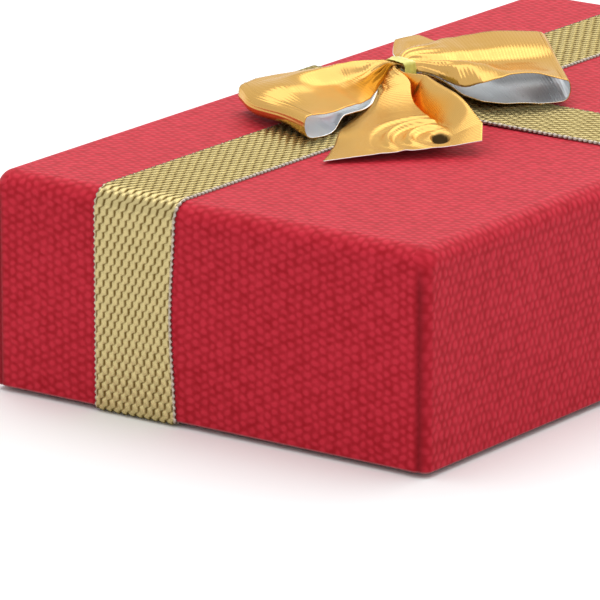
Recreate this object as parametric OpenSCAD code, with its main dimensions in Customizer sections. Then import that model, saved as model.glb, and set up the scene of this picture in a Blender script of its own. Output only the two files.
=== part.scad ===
// Small rigid card gift box: a base tray with a jewellery insert, a full-depth lid
// that slides down over it, two woven ribbon bands and a tied foil bow.
// Millimetres, Z up, origin on the table under the middle of the box.

/* [Box] */
// Outer width of the lid, side to side
box_w = 63; // [50:1:90]
// Outer depth of the lid, front to back
box_d = 115; // [90:1:160]
// Height of the lid, from its rim to its top
lid_h = 26.5; // [21:0.5:45]
// Height of the lid's rim above the table
rim_lift = 0.6; // [0.5:0.1:1.2]
// Radius of the lid's rounded top edges
edge_r = 2.25; // [1.5:0.25:3.5]
// Radius of the lid's upright corners
corner_r = 1.2; // [0.8:0.1:1.5]

/* [Board and paper] */
// Thickness of the greyboard
board_t = 1.2; // [0.8:0.1:2]
// Thickness of the textured covering paper
paper_t = 0.2; // [0.1:0.05:0.3]
// Thickness of the plain lining paper
liner_t = 0.15; // [0.1:0.05:0.25]
// Thickness of the glue and corner tape between board and covering paper
glue_t = 0.1; // [0.08:0.02:0.2]
// How far the covering paper is turned in over a rim
turn_in = 12; // [9:1:14]
// How far the lining laps over the turned-in paper
liner_lap = 3; // [1:0.5:5]
// Length of each arm of a corner tape
stay_arm = 9; // [5:1:15]
// Width of the paper flaps glued under the base
flap_w = 12; // [6:1:16]
// Margin round the sheet glued under the base
underside_margin = 2; // [1:0.5:5]
// Gap between the base's wall and the lid's lining, each side
fit_gap = 0.9; // [0.7:0.1:1.5]

/* [Insert] */
// Thickness of the foam pad
foam_h = 10; // [5:0.5:12]
// Thickness of the card on the foam
card_t = 0.8; // [0.4:0.1:1.5]
// Thickness of the flocked cover
flock_t = 0.5; // [0.3:0.1:0.8]
// Gap between the insert and the lined wall, each side
insert_gap = 0.3; // [0.2:0.1:1]
// Length of the ring slot in the insert
ring_slot = 26; // [15:1:35]
// Length of each chain slot in the insert
chain_slot = 8; // [4:1:12]
// Distance between the two chain slots
chain_slot_gap = 26; // [16:1:34]
// Distance of the chain slots' middles from the insert's back edge
chain_slot_inset = 12; // [8:1:20]
// Width of the slots
slot_w = 1.6; // [1:0.1:3]
// Depth that the slots are cut into the foam
slot_depth = 7; // [2:0.5:8]

/* [Ribbon bands] */
// Width of the woven ribbon
band_w = 12; // [8:1:20]
// Thickness of the woven ribbon
band_t = 0.4; // [0.2:0.05:0.5]
// Middle of the front-to-back band, measured across the box
long_band_x = -10; // [-18:1:18]
// Middle of the side-to-side band, measured along the box
cross_band_y = 0; // [-30:1:30]
// How far each ribbon end runs up inside the lid
band_turn = 8; // [5:0.5:8.5]
// Width of the tape over a ribbon end
tape_w = 14; // [8:1:18]
// Height of the tape over a ribbon end
tape_h = 5; // [3:0.5:8]
// Thickness of the tape
tape_t = 0.08; // [0.05:0.01:0.15]

/* [Bow] */
// Place of the knot from the crossing of the bands, across the box
knot_x = -1.5; // [-2.5:0.5:2.5]
// Place of the knot from the crossing of the bands, along the box
knot_y = -1.4; // [-2.5:0.1:2.5]
// Width of the foil ribbon
foil_w = 20; // [12:1:24]
// Thickness of the foil ribbon
foil_t = 0.2; // [0.1:0.05:0.3]
// Height of a loop between its two layers
loop_rise = 3.1; // [2.4:0.1:4.5]
// Length of the right loop, from the knot to its fold
right_loop = 20.8; // [17:0.2:25]
// Direction of the right loop
right_dir = 54.7; // [48:0.1:62]
// Turn of the right loop's fold from square to its direction
right_turn = -12.7; // [-16:0.1:-8]
// Distance from the knot at which the right loop is fully open
right_open = 8; // [7:0.5:12]
// Length of the left loop, from the knot to its fold
left_loop = 20.4; // [17:0.2:22]
// Direction of the left loop
left_dir = 257.2; // [250:0.1:262]
// Turn of the left loop's fold from square to its direction
left_turn = -15.7; // [-18:0.1:-10]
// Distance from the knot at which the left loop is fully open
left_open = 18; // [15:0.5:20]
// Length of the front tail
front_tail = 29.6; // [20:0.2:34]
// Angle between the left loop's near edge and the front tail's
front_gap = 3; // [2:0.5:10]
// Turn of the front tail's cut from square to its direction
front_turn = 13.5; // [0:0.5:20]
// Distance from the knot at which the front tail is fully open
front_open = 25; // [18:0.5:28]
// Length of the back tail
back_tail = 18; // [10:0.5:18]
// Direction of the back tail
back_dir = 98; // [96:1:125]
// Turn of the back tail's cut from square to its direction
back_turn = -20; // [-25:1:-10]
// Distance from the knot at which the back tail would be fully open
back_open = 20; // [18:0.5:25]
// Direction in which the ribbons pass through the tie
tie_dir = 81; // [75:1:88]
// Width of the gathered ribbons in the tie
pinch_w = 2.6; // [2:0.1:4]
// Thickness of one gathered layer in the tie
layer_t = 0.5; // [0.3:0.05:0.7]
// Width of the tie strip
tie_w = 2; // [1.2:0.1:3]
// Thickness of the tie strip
tie_t = 0.45; // [0.4:0.05:0.7]
// Diameter of the wire in the tie strip
wire_d = 0.25; // [0.15:0.05:0.3]
// Diameter of the glue pad under the bow
pad_d = 6; // [3:0.5:7]
// Thickness of the glue pad
pad_t = 1.8; // [0.3:0.1:2.4]

/* [Hidden] */
$fn = 48;
hull_fn = 32;
// clearance of a loose fit in thin sheet, and the overshoot of a cut
slack = 0.02;
cut = 1;

// lid: from the outside in
lid_top = rim_lift + lid_h;
cover_t = paper_t + glue_t;
lid_board_w = box_w - 2 * cover_t;
lid_board_d = box_d - 2 * cover_t;
lid_board_top = lid_top - paper_t;
lid_room_w = lid_board_w - 2 * board_t;
lid_room_d = lid_board_d - 2 * board_t;
lid_ceiling = lid_board_top - board_t - liner_t;
lid_mouth_w = lid_room_w - 2 * paper_t;
lid_mouth_d = lid_room_d - 2 * paper_t;

// base: fits the lined lid with fit_gap each side, and its rim reaches the lid's ceiling
base_w = lid_mouth_w - 2 * liner_t - 2 * fit_gap;
base_d = lid_mouth_d - 2 * liner_t - 2 * fit_gap;
base_rim = lid_ceiling;
base_board_w = base_w - 2 * cover_t;
base_board_d = base_d - 2 * cover_t;
base_board_bottom = 2 * paper_t;
base_room_w = base_board_w - 2 * board_t;
base_room_d = base_board_d - 2 * board_t;
base_floor = base_board_bottom + board_t;
base_mouth_w = base_room_w - 2 * paper_t;
base_mouth_d = base_room_d - 2 * paper_t;
base_corner_r = max(corner_r - cover_t, 0.4);

// insert: stands on the lined floor
insert_w = base_mouth_w - 2 * liner_t - 2 * insert_gap;
insert_d = base_mouth_d - 2 * liner_t - 2 * insert_gap;
insert_z = base_floor + liner_t;
card_z = insert_z + foam_h;
cover_z = card_z + card_t;
chain_slot_y = insert_d / 2 - chain_slot_inset;
chain_slot_x = chain_slot_gap / 2;

// bow: the layers in the tie, from the crossing of the two bands up
crossing_top = lid_top + 2 * band_t;
tie_z = crossing_top + pad_t;
stack_z = tie_z + tie_t;
layer_gap = 0.1;
layer_step = layer_t + layer_gap;
low_layer_z = stack_z + layer_gap / 2 + layer_t / 2;
tail_layer_z = low_layer_z + layer_step;
top_layer_z = tail_layer_z + layer_step;
stack_h = 3 * layer_t + 3 * layer_gap;
rest_z = crossing_top + foil_t / 2 + 0.1;
crown_z = rest_z + loop_rise;
knot = [long_band_x + knot_x, cross_band_y + knot_y, 0];
// beside the tie the strips run straight, then turn and thin out over these lengths
pinch = tie_w / 2 + 0.2;
bend_len = 5;
spread_len = 3;
strip_steps = 3;
end_gap = 0.6;

// tie strip: half the inside of its ring across and up, its corner and the gap between its ends
tie_in = [pinch_w / 2 + layer_gap, stack_h / 2];
tie_in_r = 0.15;
tie_gap = 0.8;
wire_gap = 0.3;

// the front tail lies beside the left loop: half of each strip's spread as seen from the knot, and a gap
front_dir = left_dir + atan(foil_w / 2 / left_loop) + front_gap + atan(foil_w / 2 / front_tail);

// ---- shapes shared by several pieces ----

// flat plate with round corners
module plate_outline(w, d, r) {
    square([w - 2 * r, d], center = true);
    square([w, d - 2 * r], center = true);
    for (x = [-1, 1], y = [-1, 1])
        translate([x * (w / 2 - r), y * (d / 2 - r)])
            circle(r = r);
}

// solid block with round upright corners and rounded top edges
module soft_block(w, d, z0, z1, upright_r, top_r) {
    hull() {
        for (x = [-1, 1], y = [-1, 1]) {
            translate([x * (w / 2 - upright_r), y * (d / 2 - upright_r), z0])
                cylinder(r = upright_r, h = z1 - top_r - z0, $fn = hull_fn);
            translate([x * (w / 2 - top_r), y * (d / 2 - top_r), z1 - top_r])
                rotate_extrude($fn = hull_fn)
                    intersection() {
                        circle(r = top_r, $fn = hull_fn);
                        square(top_r);
                    }
        }
    }
}

// straight-sided block centred on the Z axis
module block(w, d, z0, z1) {
    translate([-w / 2, -d / 2, z0])
        cube([w, d, z1 - z0]);
}

// square-cornered tube centred on the Z axis
module sleeve(w, d, wall, z0, z1) {
    difference() {
        block(w, d, z0, z1);
        block(w - 2 * wall, d - 2 * wall, z0 - cut, z1 + cut);
    }
}

// four L-shaped tapes round the upright corners of a board
module corner_stays(board_w, board_d, r, z0, z1) {
    reach = glue_t - slack;
    difference() {
        intersection() {
            translate([0, 0, z0])
                linear_extrude(height = z1 - z0)
                    plate_outline(board_w + 2 * reach, board_d + 2 * reach, r + reach);
            for (x = [-1, 1], y = [-1, 1])
                translate([x * board_w / 2, y * board_d / 2, 0])
                    block(2 * stay_arm, 2 * stay_arm, z0 - cut, z1 + cut);
        }
        translate([0, 0, z0 - cut])
            linear_extrude(height = z1 - z0 + 2 * cut)
                plate_outline(board_w, board_d, r);
    }
}

// side view of a block with round top corners
module arch_outline(w, z0, z1, r) {
    translate([-w / 2, z0])
        square([w, z1 - r - z0]);
    translate([-w / 2 + r, z0])
        square([w - 2 * r, z1 - z0]);
    for (side = [-1, 1])
        translate([side * (w / 2 - r), z1 - r])
            circle(r = r);
}

// side view of a ribbon that wraps the lid: over the top, under both rims and up inside
module band_outline(span, mouth) {
    difference() {
        arch_outline(span + 2 * band_t, rim_lift - band_t, lid_top + band_t, edge_r + band_t);
        arch_outline(span, rim_lift, lid_top, edge_r);
        translate([-mouth / 2 + band_t, rim_lift - band_t - cut])
            square([mouth - 2 * band_t, band_t + 2 * cut]);
    }
    for (side = [-1, 1])
        translate([side * (mouth / 2 - band_t / 2) - band_t / 2, rim_lift - band_t])
            square([band_t, band_turn + band_t]);
}

// slots for a ring and for the two sides of a chain
module slots(z0, z1) {
    block(ring_slot, slot_w, z0, z1);
    for (x = [-1, 1])
        translate([x * chain_slot_x, chain_slot_y, 0])
            block(slot_w, chain_slot, z0, z1);
}

// ---- ribbon strips of the bow ----

function blend(a, b, f) = a + (b - a) * f;
function ease(f) = let (c = min(max(f, 0), 1)) c * c * (3 - 2 * c);

// smooth curve through points, with a number of steps between each two
function curve_at(p0, p1, p2, p3, f) =
    0.5 * (2 * p1 + (p2 - p0) * f + (2 * p0 - 5 * p1 + 4 * p2 - p3) * f * f
        + (3 * p1 - p0 - 3 * p2 + p3) * f * f * f);
function curve(points, steps) = let (last = len(points) - 1) concat(
    [for (i = [0 : last - 1], s = [0 : steps - 1])
        curve_at(points[max(i - 1, 0)], points[i], points[i + 1], points[min(i + 2, last)], s / steps)],
    [points[last]]);

// one arm of the bow: [length, direction, distance at which it is fully open, turn of its end]
RIGHT = [right_loop, right_dir, right_open, right_turn];
LEFT = [left_loop, left_dir - 180, left_open, left_turn];
BACK = [back_tail, back_dir, back_open, back_turn];
FRONT = [front_tail, front_dir - 180, front_open, front_turn];

// the arm that a place t along a strip lies on, and how that arm runs there
function arm_at(t, ahead, behind) = t < 0 ? behind : ahead;
function opened(t, arm) = min(max((abs(t) - pinch) / (arm[2] - pinch), 0), 1);
function heading(t, arm) = blend(tie_dir, arm[1], ease((abs(t) - pinch) / bend_len));
function half_width(t, arm) = blend(pinch_w, foil_w, opened(t, arm)) / 2;
function strip_t(t) = blend(layer_t, foil_t, ease((abs(t) - pinch) / spread_len));

// the four corners of a strip's cross-section at [t, z], where along is its slope there
function section(p, along, arm) = let (
        h = heading(p[0], arm),
        across = h + 90 + arm[3] * abs(p[0]) / arm[0],
        side = half_width(p[0], arm) * [cos(across), sin(across), 0],
        n = along / norm(along),
        up = strip_t(p[0]) / 2 * [-n[1] * cos(h), -n[1] * sin(h), n[0]],
        c = [p[0] * cos(h), p[0] * sin(h), p[1]])
    [c - side - up, c + side - up, c + side + up, c - side + up];

// a thin strip along a path of [t, z] points through the knot
module strip(path, ahead, behind) {
    last = len(path) - 1;
    rings = [for (i = [0 : last])
        section(path[i], path[min(i + 1, last)] - path[max(i - 1, 0)],
            arm_at(path[i][0], ahead, behind))];
    walls = [for (i = [0 : last - 1], k = [0 : 3])
        let (a = 4 * i + k, b = 4 * i + (k + 1) % 4)
            each [[a, a + 4, b], [b, a + 4, b + 4]]];
    ends = [[0, 1, 2], [0, 2, 3],
        [4 * last, 4 * last + 2, 4 * last + 1], [4 * last, 4 * last + 3, 4 * last + 2]];
    translate(knot)
        polyhedron(points = [for (ring = rings) each ring], faces = concat(walls, ends));
}

// half of the bow's outline from its end under the knot, round the fold, to the top of the knot
function loop_side(length) = let (r = loop_rise / 2) concat(
    [[end_gap / 2, low_layer_z], [pinch, low_layer_z], [pinch + 1, low_layer_z],
        [6, blend(low_layer_z, rest_z, 0.6)],
        [0.5 * length, rest_z], [0.75 * length, rest_z]],
    [for (a = [-90 : 30 : 90]) [length - r + r * cos(a), rest_z + r + r * sin(a)]],
    [[0.75 * length, crown_z + 0.2], [0.45 * length, crown_z + 0.2],
        [4.5, max(top_layer_z, blend(top_layer_z, crown_z, 0.6))], [pinch + 1, top_layer_z], [pinch, top_layer_z]]);
function flipped(points) = [for (i = [len(points) - 1 : -1 : 0]) [-points[i][0], points[i][1]]];

// ---- base ----

module base_underside_paper() {
    color("firebrick")
        block(base_w - 2 * underside_margin, base_d - 2 * underside_margin, 0, paper_t);
}

module base_board() {
    color("tan")
        difference() {
            translate([0, 0, base_board_bottom])
                linear_extrude(height = base_rim - paper_t - base_board_bottom)
                    plate_outline(base_board_w, base_board_d, base_corner_r);
            block(base_room_w, base_room_d, base_floor, base_rim + cut);
        }
}

module base_corner_stays() {
    color("burlywood")
        corner_stays(base_board_w, base_board_d, base_corner_r,
            base_board_bottom, base_rim - paper_t);
}

module base_wrap() {
    color("firebrick") {
        difference() {
            translate([0, 0, paper_t])
                linear_extrude(height = base_rim - paper_t)
                    plate_outline(base_w, base_d, base_corner_r + cover_t);
            translate([0, 0, base_board_bottom])
                linear_extrude(height = base_rim - paper_t - base_board_bottom)
                    plate_outline(base_w - 2 * paper_t, base_d - 2 * paper_t, base_corner_r + glue_t);
            block(base_w - 2 * flap_w, base_d - 2 * flap_w, 0, base_board_bottom + cut);
            block(base_mouth_w, base_mouth_d, base_floor, base_rim + cut);
        }
        sleeve(base_room_w, base_room_d, paper_t, base_rim - turn_in, base_rim - paper_t / 2);
    }
}

module base_liner() {
    color("ivory")
        difference() {
            block(base_mouth_w, base_mouth_d, base_floor, base_rim - turn_in + liner_lap);
            block(base_mouth_w - 2 * liner_t, base_mouth_d - 2 * liner_t,
                base_floor + liner_t, base_rim);
        }
}

// ---- insert ----

module insert_foam() {
    color("whitesmoke")
        difference() {
            block(insert_w - 2 * flock_t, insert_d - 2 * flock_t, insert_z, card_z);
            slots(card_z - slot_depth, card_z + cut);
        }
}

module insert_card() {
    color("tan")
        difference() {
            block(insert_w - 2 * flock_t, insert_d - 2 * flock_t, card_z, cover_z);
            slots(card_z - cut, cover_z + cut);
        }
}

module insert_cover() {
    color("ivory")
        difference() {
            block(insert_w, insert_d, insert_z, cover_z + flock_t);
            block(insert_w - 2 * flock_t, insert_d - 2 * flock_t, insert_z - cut, cover_z);
            slots(card_z, cover_z + flock_t + cut);
        }
}

// ---- lid ----

module lid_board() {
    color("tan")
        difference() {
            soft_block(lid_board_w, lid_board_d, rim_lift + paper_t, lid_board_top,
                corner_r - paper_t, edge_r - paper_t);
            block(lid_room_w, lid_room_d, rim_lift, lid_board_top - board_t);
        }
}

module lid_corner_stays() {
    color("burlywood")
        corner_stays(lid_board_w, lid_board_d, corner_r - paper_t,
            rim_lift + paper_t, lid_top - edge_r);
}

module lid_wrap() {
    color("firebrick") {
        difference() {
            soft_block(box_w, box_d, rim_lift, lid_top, corner_r, edge_r);
            soft_block(box_w - 2 * paper_t, box_d - 2 * paper_t, rim_lift + paper_t, lid_board_top,
                corner_r - paper_t, edge_r - paper_t);
            block(lid_mouth_w, lid_mouth_d, rim_lift - cut, rim_lift + paper_t + cut);
        }
        sleeve(lid_room_w, lid_room_d, paper_t, rim_lift + paper_t / 2, rim_lift + turn_in);
    }
}

module lid_liner() {
    color("ivory")
        difference() {
            block(lid_mouth_w, lid_mouth_d, rim_lift + turn_in - liner_lap, lid_ceiling + liner_t);
            block(lid_mouth_w - 2 * liner_t, lid_mouth_d - 2 * liner_t, rim_lift, lid_ceiling);
        }
}

// ---- ribbon bands ----

// front-to-back band, flat on the lid
module long_band() {
    color("darkkhaki")
        translate([long_band_x, 0, 0])
            rotate([90, 0, 90])
                linear_extrude(height = band_w, center = true)
                    band_outline(box_d, lid_mouth_d);
}

// side-to-side band, which steps up over the front-to-back band
module cross_band() {
    step_w = band_w + 2 * band_t;
    color("darkkhaki")
        translate([0, cross_band_y, 0])
            rotate([90, 0, 0])
                linear_extrude(height = band_w, center = true)
                    difference() {
                        union() {
                            band_outline(box_w, lid_mouth_w);
                            translate([long_band_x - step_w / 2, lid_top])
                                square([step_w, 2 * band_t]);
                        }
                        translate([long_band_x - band_w / 2, lid_top - cut])
                            square([band_w, band_t + cut]);
                    }
}

// tape over the four ribbon ends inside the lid
module band_end_tapes() {
    z = rim_lift + band_turn - tape_h / 2;
    color("gainsboro")
        for (side = [-1, 1]) {
            translate([long_band_x, side * (lid_mouth_d / 2 - band_t - tape_t / 2), z])
                cube([tape_w, tape_t, tape_h], center = true);
            translate([side * (lid_mouth_w / 2 - band_t - tape_t / 2), cross_band_y, z])
                cube([tape_t, tape_w, tape_h], center = true);
        }
}

// ---- bow ----

module bow_pad() {
    color("gainsboro")
        translate(knot + [0, 0, crossing_top])
            cylinder(d = pad_d, h = pad_t);
}

// one strip folded into both loops
module bow_loops() {
    color("gold")
        strip(curve(concat(loop_side(right_loop), [[0, top_layer_z]], flipped(loop_side(left_loop))),
            strip_steps), RIGHT, LEFT);
}

// a second strip through the same tie, whose ends are the front and the back tail
module bow_tails() {
    tail_rest = rest_z + 0.1;
    color("goldenrod")
        strip(curve([[-front_tail, tail_rest], [-0.8 * front_tail, tail_rest],
                [-0.55 * front_tail, blend(tail_rest, tail_layer_z, 0.2)],
                [-0.25 * front_tail, blend(tail_rest, tail_layer_z, 0.8)],
                [-pinch - 1, tail_layer_z], [-pinch, tail_layer_z], [0, tail_layer_z], [pinch, tail_layer_z],
                [0.3 * back_tail, tail_layer_z], [0.6 * back_tail, tail_layer_z - 0.3],
                [back_tail, tail_layer_z - 0.5]], strip_steps),
            BACK, FRONT);
}

// places its children in the plane across the tie, centred on the gathered ribbons
module tie_frame() {
    translate(knot + [0, 0, stack_z + stack_h / 2])
        rotate([0, 0, tie_dir - 90])
            rotate([90, 0, 0])
                children();
}

// round wire bent to the middle of the tie strip, open at the bottom
module tie_wire_shape(r) {
    mid_r = tie_in_r + tie_t / 2;
    half = tie_in + [tie_t / 2, tie_t / 2];
    straight = half - [mid_r, mid_r];
    for (side = [-1, 1]) {
        translate([side * half[0], -straight[1], 0])
            rotate([-90, 0, 0])
                cylinder(r = r, h = 2 * straight[1]);
        translate([side * wire_gap / 2, -half[1], 0])
            rotate([0, side * 90, 0])
                cylinder(r = r, h = straight[0] - wire_gap / 2);
    }
    translate([-straight[0], half[1], 0])
        rotate([0, 90, 0])
            cylinder(r = r, h = 2 * straight[0]);
    for (quarter = [0 : 3]) {
        corner = [[1, 1], [-1, 1], [-1, -1], [1, -1]][quarter];
        translate([corner[0] * straight[0], corner[1] * straight[1], 0])
            rotate([0, 0, 90 * quarter])
                rotate_extrude(angle = 90)
                    translate([mid_r, 0])
                        circle(r = r);
    }
}

// flat strip bent round the gathered ribbons, its ends meeting under the knot
module bow_tie() {
    color("khaki")
        tie_frame()
            difference() {
                linear_extrude(height = tie_w, center = true)
                    difference() {
                        plate_outline(2 * (tie_in[0] + tie_t), 2 * (tie_in[1] + tie_t), tie_in_r + tie_t);
                        plate_outline(2 * tie_in[0], 2 * tie_in[1], tie_in_r);
                        translate([-tie_gap / 2, -tie_in[1] - 2 * tie_t])
                            square([tie_gap, 3 * tie_t]);
                    }
                tie_wire_shape(wire_d / 2 + slack);
            }
}

module bow_tie_wire() {
    color("silver")
        tie_frame()
            tie_wire_shape(wire_d / 2);
}

base_underside_paper();
base_board();
base_corner_stays();
base_wrap();
base_liner();
insert_foam();
insert_card();
insert_cover();
lid_board();
lid_corner_stays();
lid_wrap();
lid_liner();
long_band();
cross_band();
band_end_tapes();
bow_pad();
bow_loops();
bow_tails();
bow_tie();
bow_tie_wire();
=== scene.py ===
"""A small rigid gift box with woven ribbon bands and a tied foil bow, built round its packed frame.

Lengths are metres in the frame's own space: Z up, origin under the middle of the box.
Each operator makes one piece or one group of like pieces, and main() calls them in order.
"""

import math

import bpy
import numpy as np
from mathutils import Matrix, Vector


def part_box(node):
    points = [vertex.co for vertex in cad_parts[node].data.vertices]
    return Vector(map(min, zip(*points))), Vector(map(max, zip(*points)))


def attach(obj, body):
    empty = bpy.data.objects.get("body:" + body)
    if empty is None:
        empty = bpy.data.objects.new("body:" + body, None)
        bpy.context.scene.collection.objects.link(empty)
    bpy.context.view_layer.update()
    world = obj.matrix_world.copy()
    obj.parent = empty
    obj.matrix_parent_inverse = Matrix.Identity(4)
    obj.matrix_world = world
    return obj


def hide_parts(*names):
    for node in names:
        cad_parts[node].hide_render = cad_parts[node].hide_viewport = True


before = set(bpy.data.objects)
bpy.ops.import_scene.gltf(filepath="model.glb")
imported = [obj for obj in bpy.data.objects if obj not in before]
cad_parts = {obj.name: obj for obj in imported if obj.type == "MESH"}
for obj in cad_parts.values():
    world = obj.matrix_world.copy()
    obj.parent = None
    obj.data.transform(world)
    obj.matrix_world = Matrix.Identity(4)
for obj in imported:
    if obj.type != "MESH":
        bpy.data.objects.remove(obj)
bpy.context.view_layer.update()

bl_info = {
    "name": "Ribboned gift box",
    "version": (1, 0, 0),
    "blender": (4, 5, 0),
    "location": "3D View > Sidebar > Gift Box",
    "description": "Covering papers, insert, woven bands and foil bow of a small rigid gift box",
    "category": "Add Mesh",
}

MM = 0.001
LID_LOW, LID_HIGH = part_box("lid_wrap")
BASE_LOW, BASE_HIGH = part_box("base_wrap")
LONG_LOW, LONG_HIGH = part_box("long_band")
CROSS_LOW, CROSS_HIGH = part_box("cross_band")
COVER_LOW, COVER_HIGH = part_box("insert_cover")
FOAM_LOW, FOAM_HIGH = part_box("insert_foam")
PAD_LOW, PAD_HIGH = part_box("bow_pad")
LID_TOP = LID_HIGH.z
WALL = 1.7 * MM  # from a wall's outside to the paper on its inside


# ---- settings ------------------------------------------------------------------------------


def colour_setting(name, description, default):
    return bpy.props.FloatVectorProperty(
        name=name, description=description, default=default, subtype="COLOR", size=3, min=0, max=1
    )


def length_setting(name, description, millimetres):
    return bpy.props.FloatProperty(
        name=name, description=description, default=millimetres * MM, subtype="DISTANCE"
    )


def power_setting(name, description, default):
    return bpy.props.FloatProperty(
        name=name, description=description, default=default, unit="POWER"
    )


class GIFTBOX_PaperSettings(bpy.types.PropertyGroup):
    """Covering paper"""

    colour: colour_setting(
        "Paper colour", "Colour of the raised part of the paper", (0.61, 0.024, 0.046)
    )
    # painted shade: the darker colour given to the hollows between the raised dots
    hollow_shade_colour: colour_setting(
        "Hollow colour", "Colour between the paper's raised dots", (0.37, 0.004, 0.012)
    )
    thickness: length_setting("Paper thickness", "Thickness of the covering paper", 0.2)
    dot_width: length_setting("Dot width", "Distance between two columns of embossed dots", 1.13)
    dot_height: length_setting("Dot height", "Distance between two dots of one column", 1.08)
    emboss: length_setting("Emboss depth", "Depth of the emboss", 0.055)
    edge_radius: length_setting("Top edge radius", "Radius of the lid's rounded top edges", 2.25)
    corner_radius: length_setting("Corner radius", "Radius of the upright corners", 1.2)
    turn_in: length_setting("Turn-in", "How far the paper runs over a rim to the inside", 12)
    seam_step: length_setting(
        "Seam step", "How far an end panel's paper stands over the paper round the corner", 0.16
    )


class GIFTBOX_InsertSettings(bpy.types.PropertyGroup):
    """Foam insert and its flocked cover"""

    colour: colour_setting("Flock colour", "Colour of the flocked cover", (0.78, 0.70, 0.57))
    ring_slot: length_setting("Ring slot", "Length of the ring slot", 26)
    chain_slot: length_setting("Chain slot", "Length of each chain slot", 8)
    chain_slot_gap: length_setting("Chain slot gap", "Distance between the two chain slots", 26)
    chain_slot_inset: length_setting(
        "Chain slot inset", "Distance of the chain slots' middles from the insert's back edge", 12
    )
    slot_width: length_setting(
        "Slot width", "Width of the slots between the rolled-in edges", 1.6
    )


class GIFTBOX_BandSettings(bpy.types.PropertyGroup):
    """Woven ribbon bands"""

    colour: colour_setting("Yarn colour", "Colour of the shiny yarn", (0.58, 0.475, 0.225))
    # painted shade: the colour the yarn darkens to where it lies low, darkest in the gaps
    gap_shade_colour: colour_setting("Gap colour", "Colour deep between two yarns", (0.13, 0.075, 0.014))
    edge_colour: colour_setting(
        "Edge colour", "Colour of the silvery edge loops", (0.52, 0.45, 0.42)
    )
    thickness: length_setting("Ribbon thickness", "Thickness of the woven ribbon", 0.4)
    column: length_setting("Column pitch", "Distance between two yarns across the ribbon", 1.15)
    row: length_setting("Row pitch", "Distance between two rows along the ribbon", 0.97)


class GIFTBOX_BowSettings(bpy.types.PropertyGroup):
    """Foil bow and its twist tie"""

    colour: colour_setting("Foil colour", "Colour of the foil's gold side", (0.66, 0.40, 0.125))
    back_colour: colour_setting(
        "Foil back colour", "Colour of the foil's silver side", (0.90, 0.95, 1.0)
    )
    tie_colour: colour_setting("Tie colour", "Colour of the twist tie's strip", (0.80, 0.74, 0.17))
    width: length_setting("Foil width", "Width of the foil ribbon", 20)
    thickness: length_setting("Foil thickness", "Thickness of the foil ribbon", 0.1)
    rib: length_setting(
        "Rib pitch", "Distance between two of the fine ribs that run across the foil", 0.42
    )
    rib_height: length_setting("Rib height", "Half the height of the fine ribs", 0.013)


class GIFTBOX_StageSettings(bpy.types.PropertyGroup):
    """Floor, light and camera"""

    key_power: power_setting("Key power", "Power of the soft box behind and above the box", 5.4)
    back_power: power_setting("Back power", "Power of the small soft box behind the box", 1.0)
    fill_power: power_setting("Fill power", "Power of the soft box on the camera's side", 0.6)
    room_light: bpy.props.FloatProperty(
        name="Room light", description="Level of the even light from all round", default=0.85
    )
    lens: bpy.props.FloatProperty(
        name="Lens", description="Focal length of the camera, in millimetres", default=402.66
    )


SETTINGS = {
    "gift_box_paper": GIFTBOX_PaperSettings,
    "gift_box_insert": GIFTBOX_InsertSettings,
    "gift_box_bands": GIFTBOX_BandSettings,
    "gift_box_bow": GIFTBOX_BowSettings,
    "gift_box_stage": GIFTBOX_StageSettings,
}


# ---- materials -----------------------------------------------------------------------------


class Finish:
    """A node material, with short ways to add the nodes it is made of"""

    def __init__(self, name, **surface):
        self.material = bpy.data.materials.new(name)
        self.material.use_nodes = True
        self.tree = self.material.node_tree
        self.surface = self.tree.nodes["Principled BSDF"]
        for socket, value in surface.items():
            self.surface.inputs[socket.replace("_", " ")].default_value = value

    def add(self, kind, inputs=None, **options):
        node = self.tree.nodes.new("ShaderNode" + kind)
        for key, value in options.items():
            setattr(node, key, value)
        for socket, value in (inputs or {}).items():
            self.feed(value, node.inputs[socket])
        return node

    def feed(self, value, socket):
        if isinstance(value, bpy.types.NodeSocket):
            self.tree.links.new(value, socket)
        else:
            socket.default_value = value

    def math(self, operation, a, b=0.0, c=0.0):
        return self.add("Math", {0: a, 1: b, 2: c}, operation=operation).outputs[0]

    def scaled(self, value, gain, shift):
        """value times gain, plus shift"""
        return self.math("MULTIPLY_ADD", value, gain, shift)

    def smooth(self, value, low, high):
        """0 up to low, 1 from high on, and a smooth step between them"""
        node = self.add("MapRange", {0: value, 1: low, 2: high}, interpolation_type="SMOOTHSTEP")
        return node.outputs[0]

    def between(self, share, a, b):
        """The colour at that share of the way from a to b"""
        node = self.add("Mix", data_type="RGBA")
        for socket, value in ((0, share), (6, a), (7, b)):
            self.feed(value, node.inputs[socket])
        return node.outputs[2]

    def noise(self, place, scale, detail=2.0, rough=0.5):
        inputs = {"Vector": place, "Scale": scale, "Detail": detail, "Roughness": rough}
        return self.add("TexNoise", inputs).outputs[0]

    def place(self, source="Object"):
        return self.add("TexCoord").outputs[source]

    def split(self, vector):
        return self.add("SeparateXYZ", {0: vector}).outputs

    def stretched(self, vector, x, y, z=1.0):
        node = self.add("VectorMath", {0: vector, 1: (x, y, z)}, operation="MULTIPLY")
        return node.outputs[0]

    def attribute(self, name):
        return self.add("Attribute", attribute_name=name).outputs["Fac"]

    def relief(self, height, millimetres, under=None):
        """Bump of that height, 0 to 1, and depth, on top of another one"""
        inputs = {"Height": height, "Distance": millimetres * MM, "Strength": 1.0}
        if under is not None:
            inputs["Normal"] = under
        return self.add("Bump", inputs).outputs[0]

    def finish(self, **sockets):
        for socket, value in sockets.items():
            self.feed(value, self.surface.inputs[socket.replace("_", " ")])
        return self.material


def rgba(colour, gain=1.0):
    return (*(min(1.0, c * gain) for c in colour), 1.0)


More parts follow.
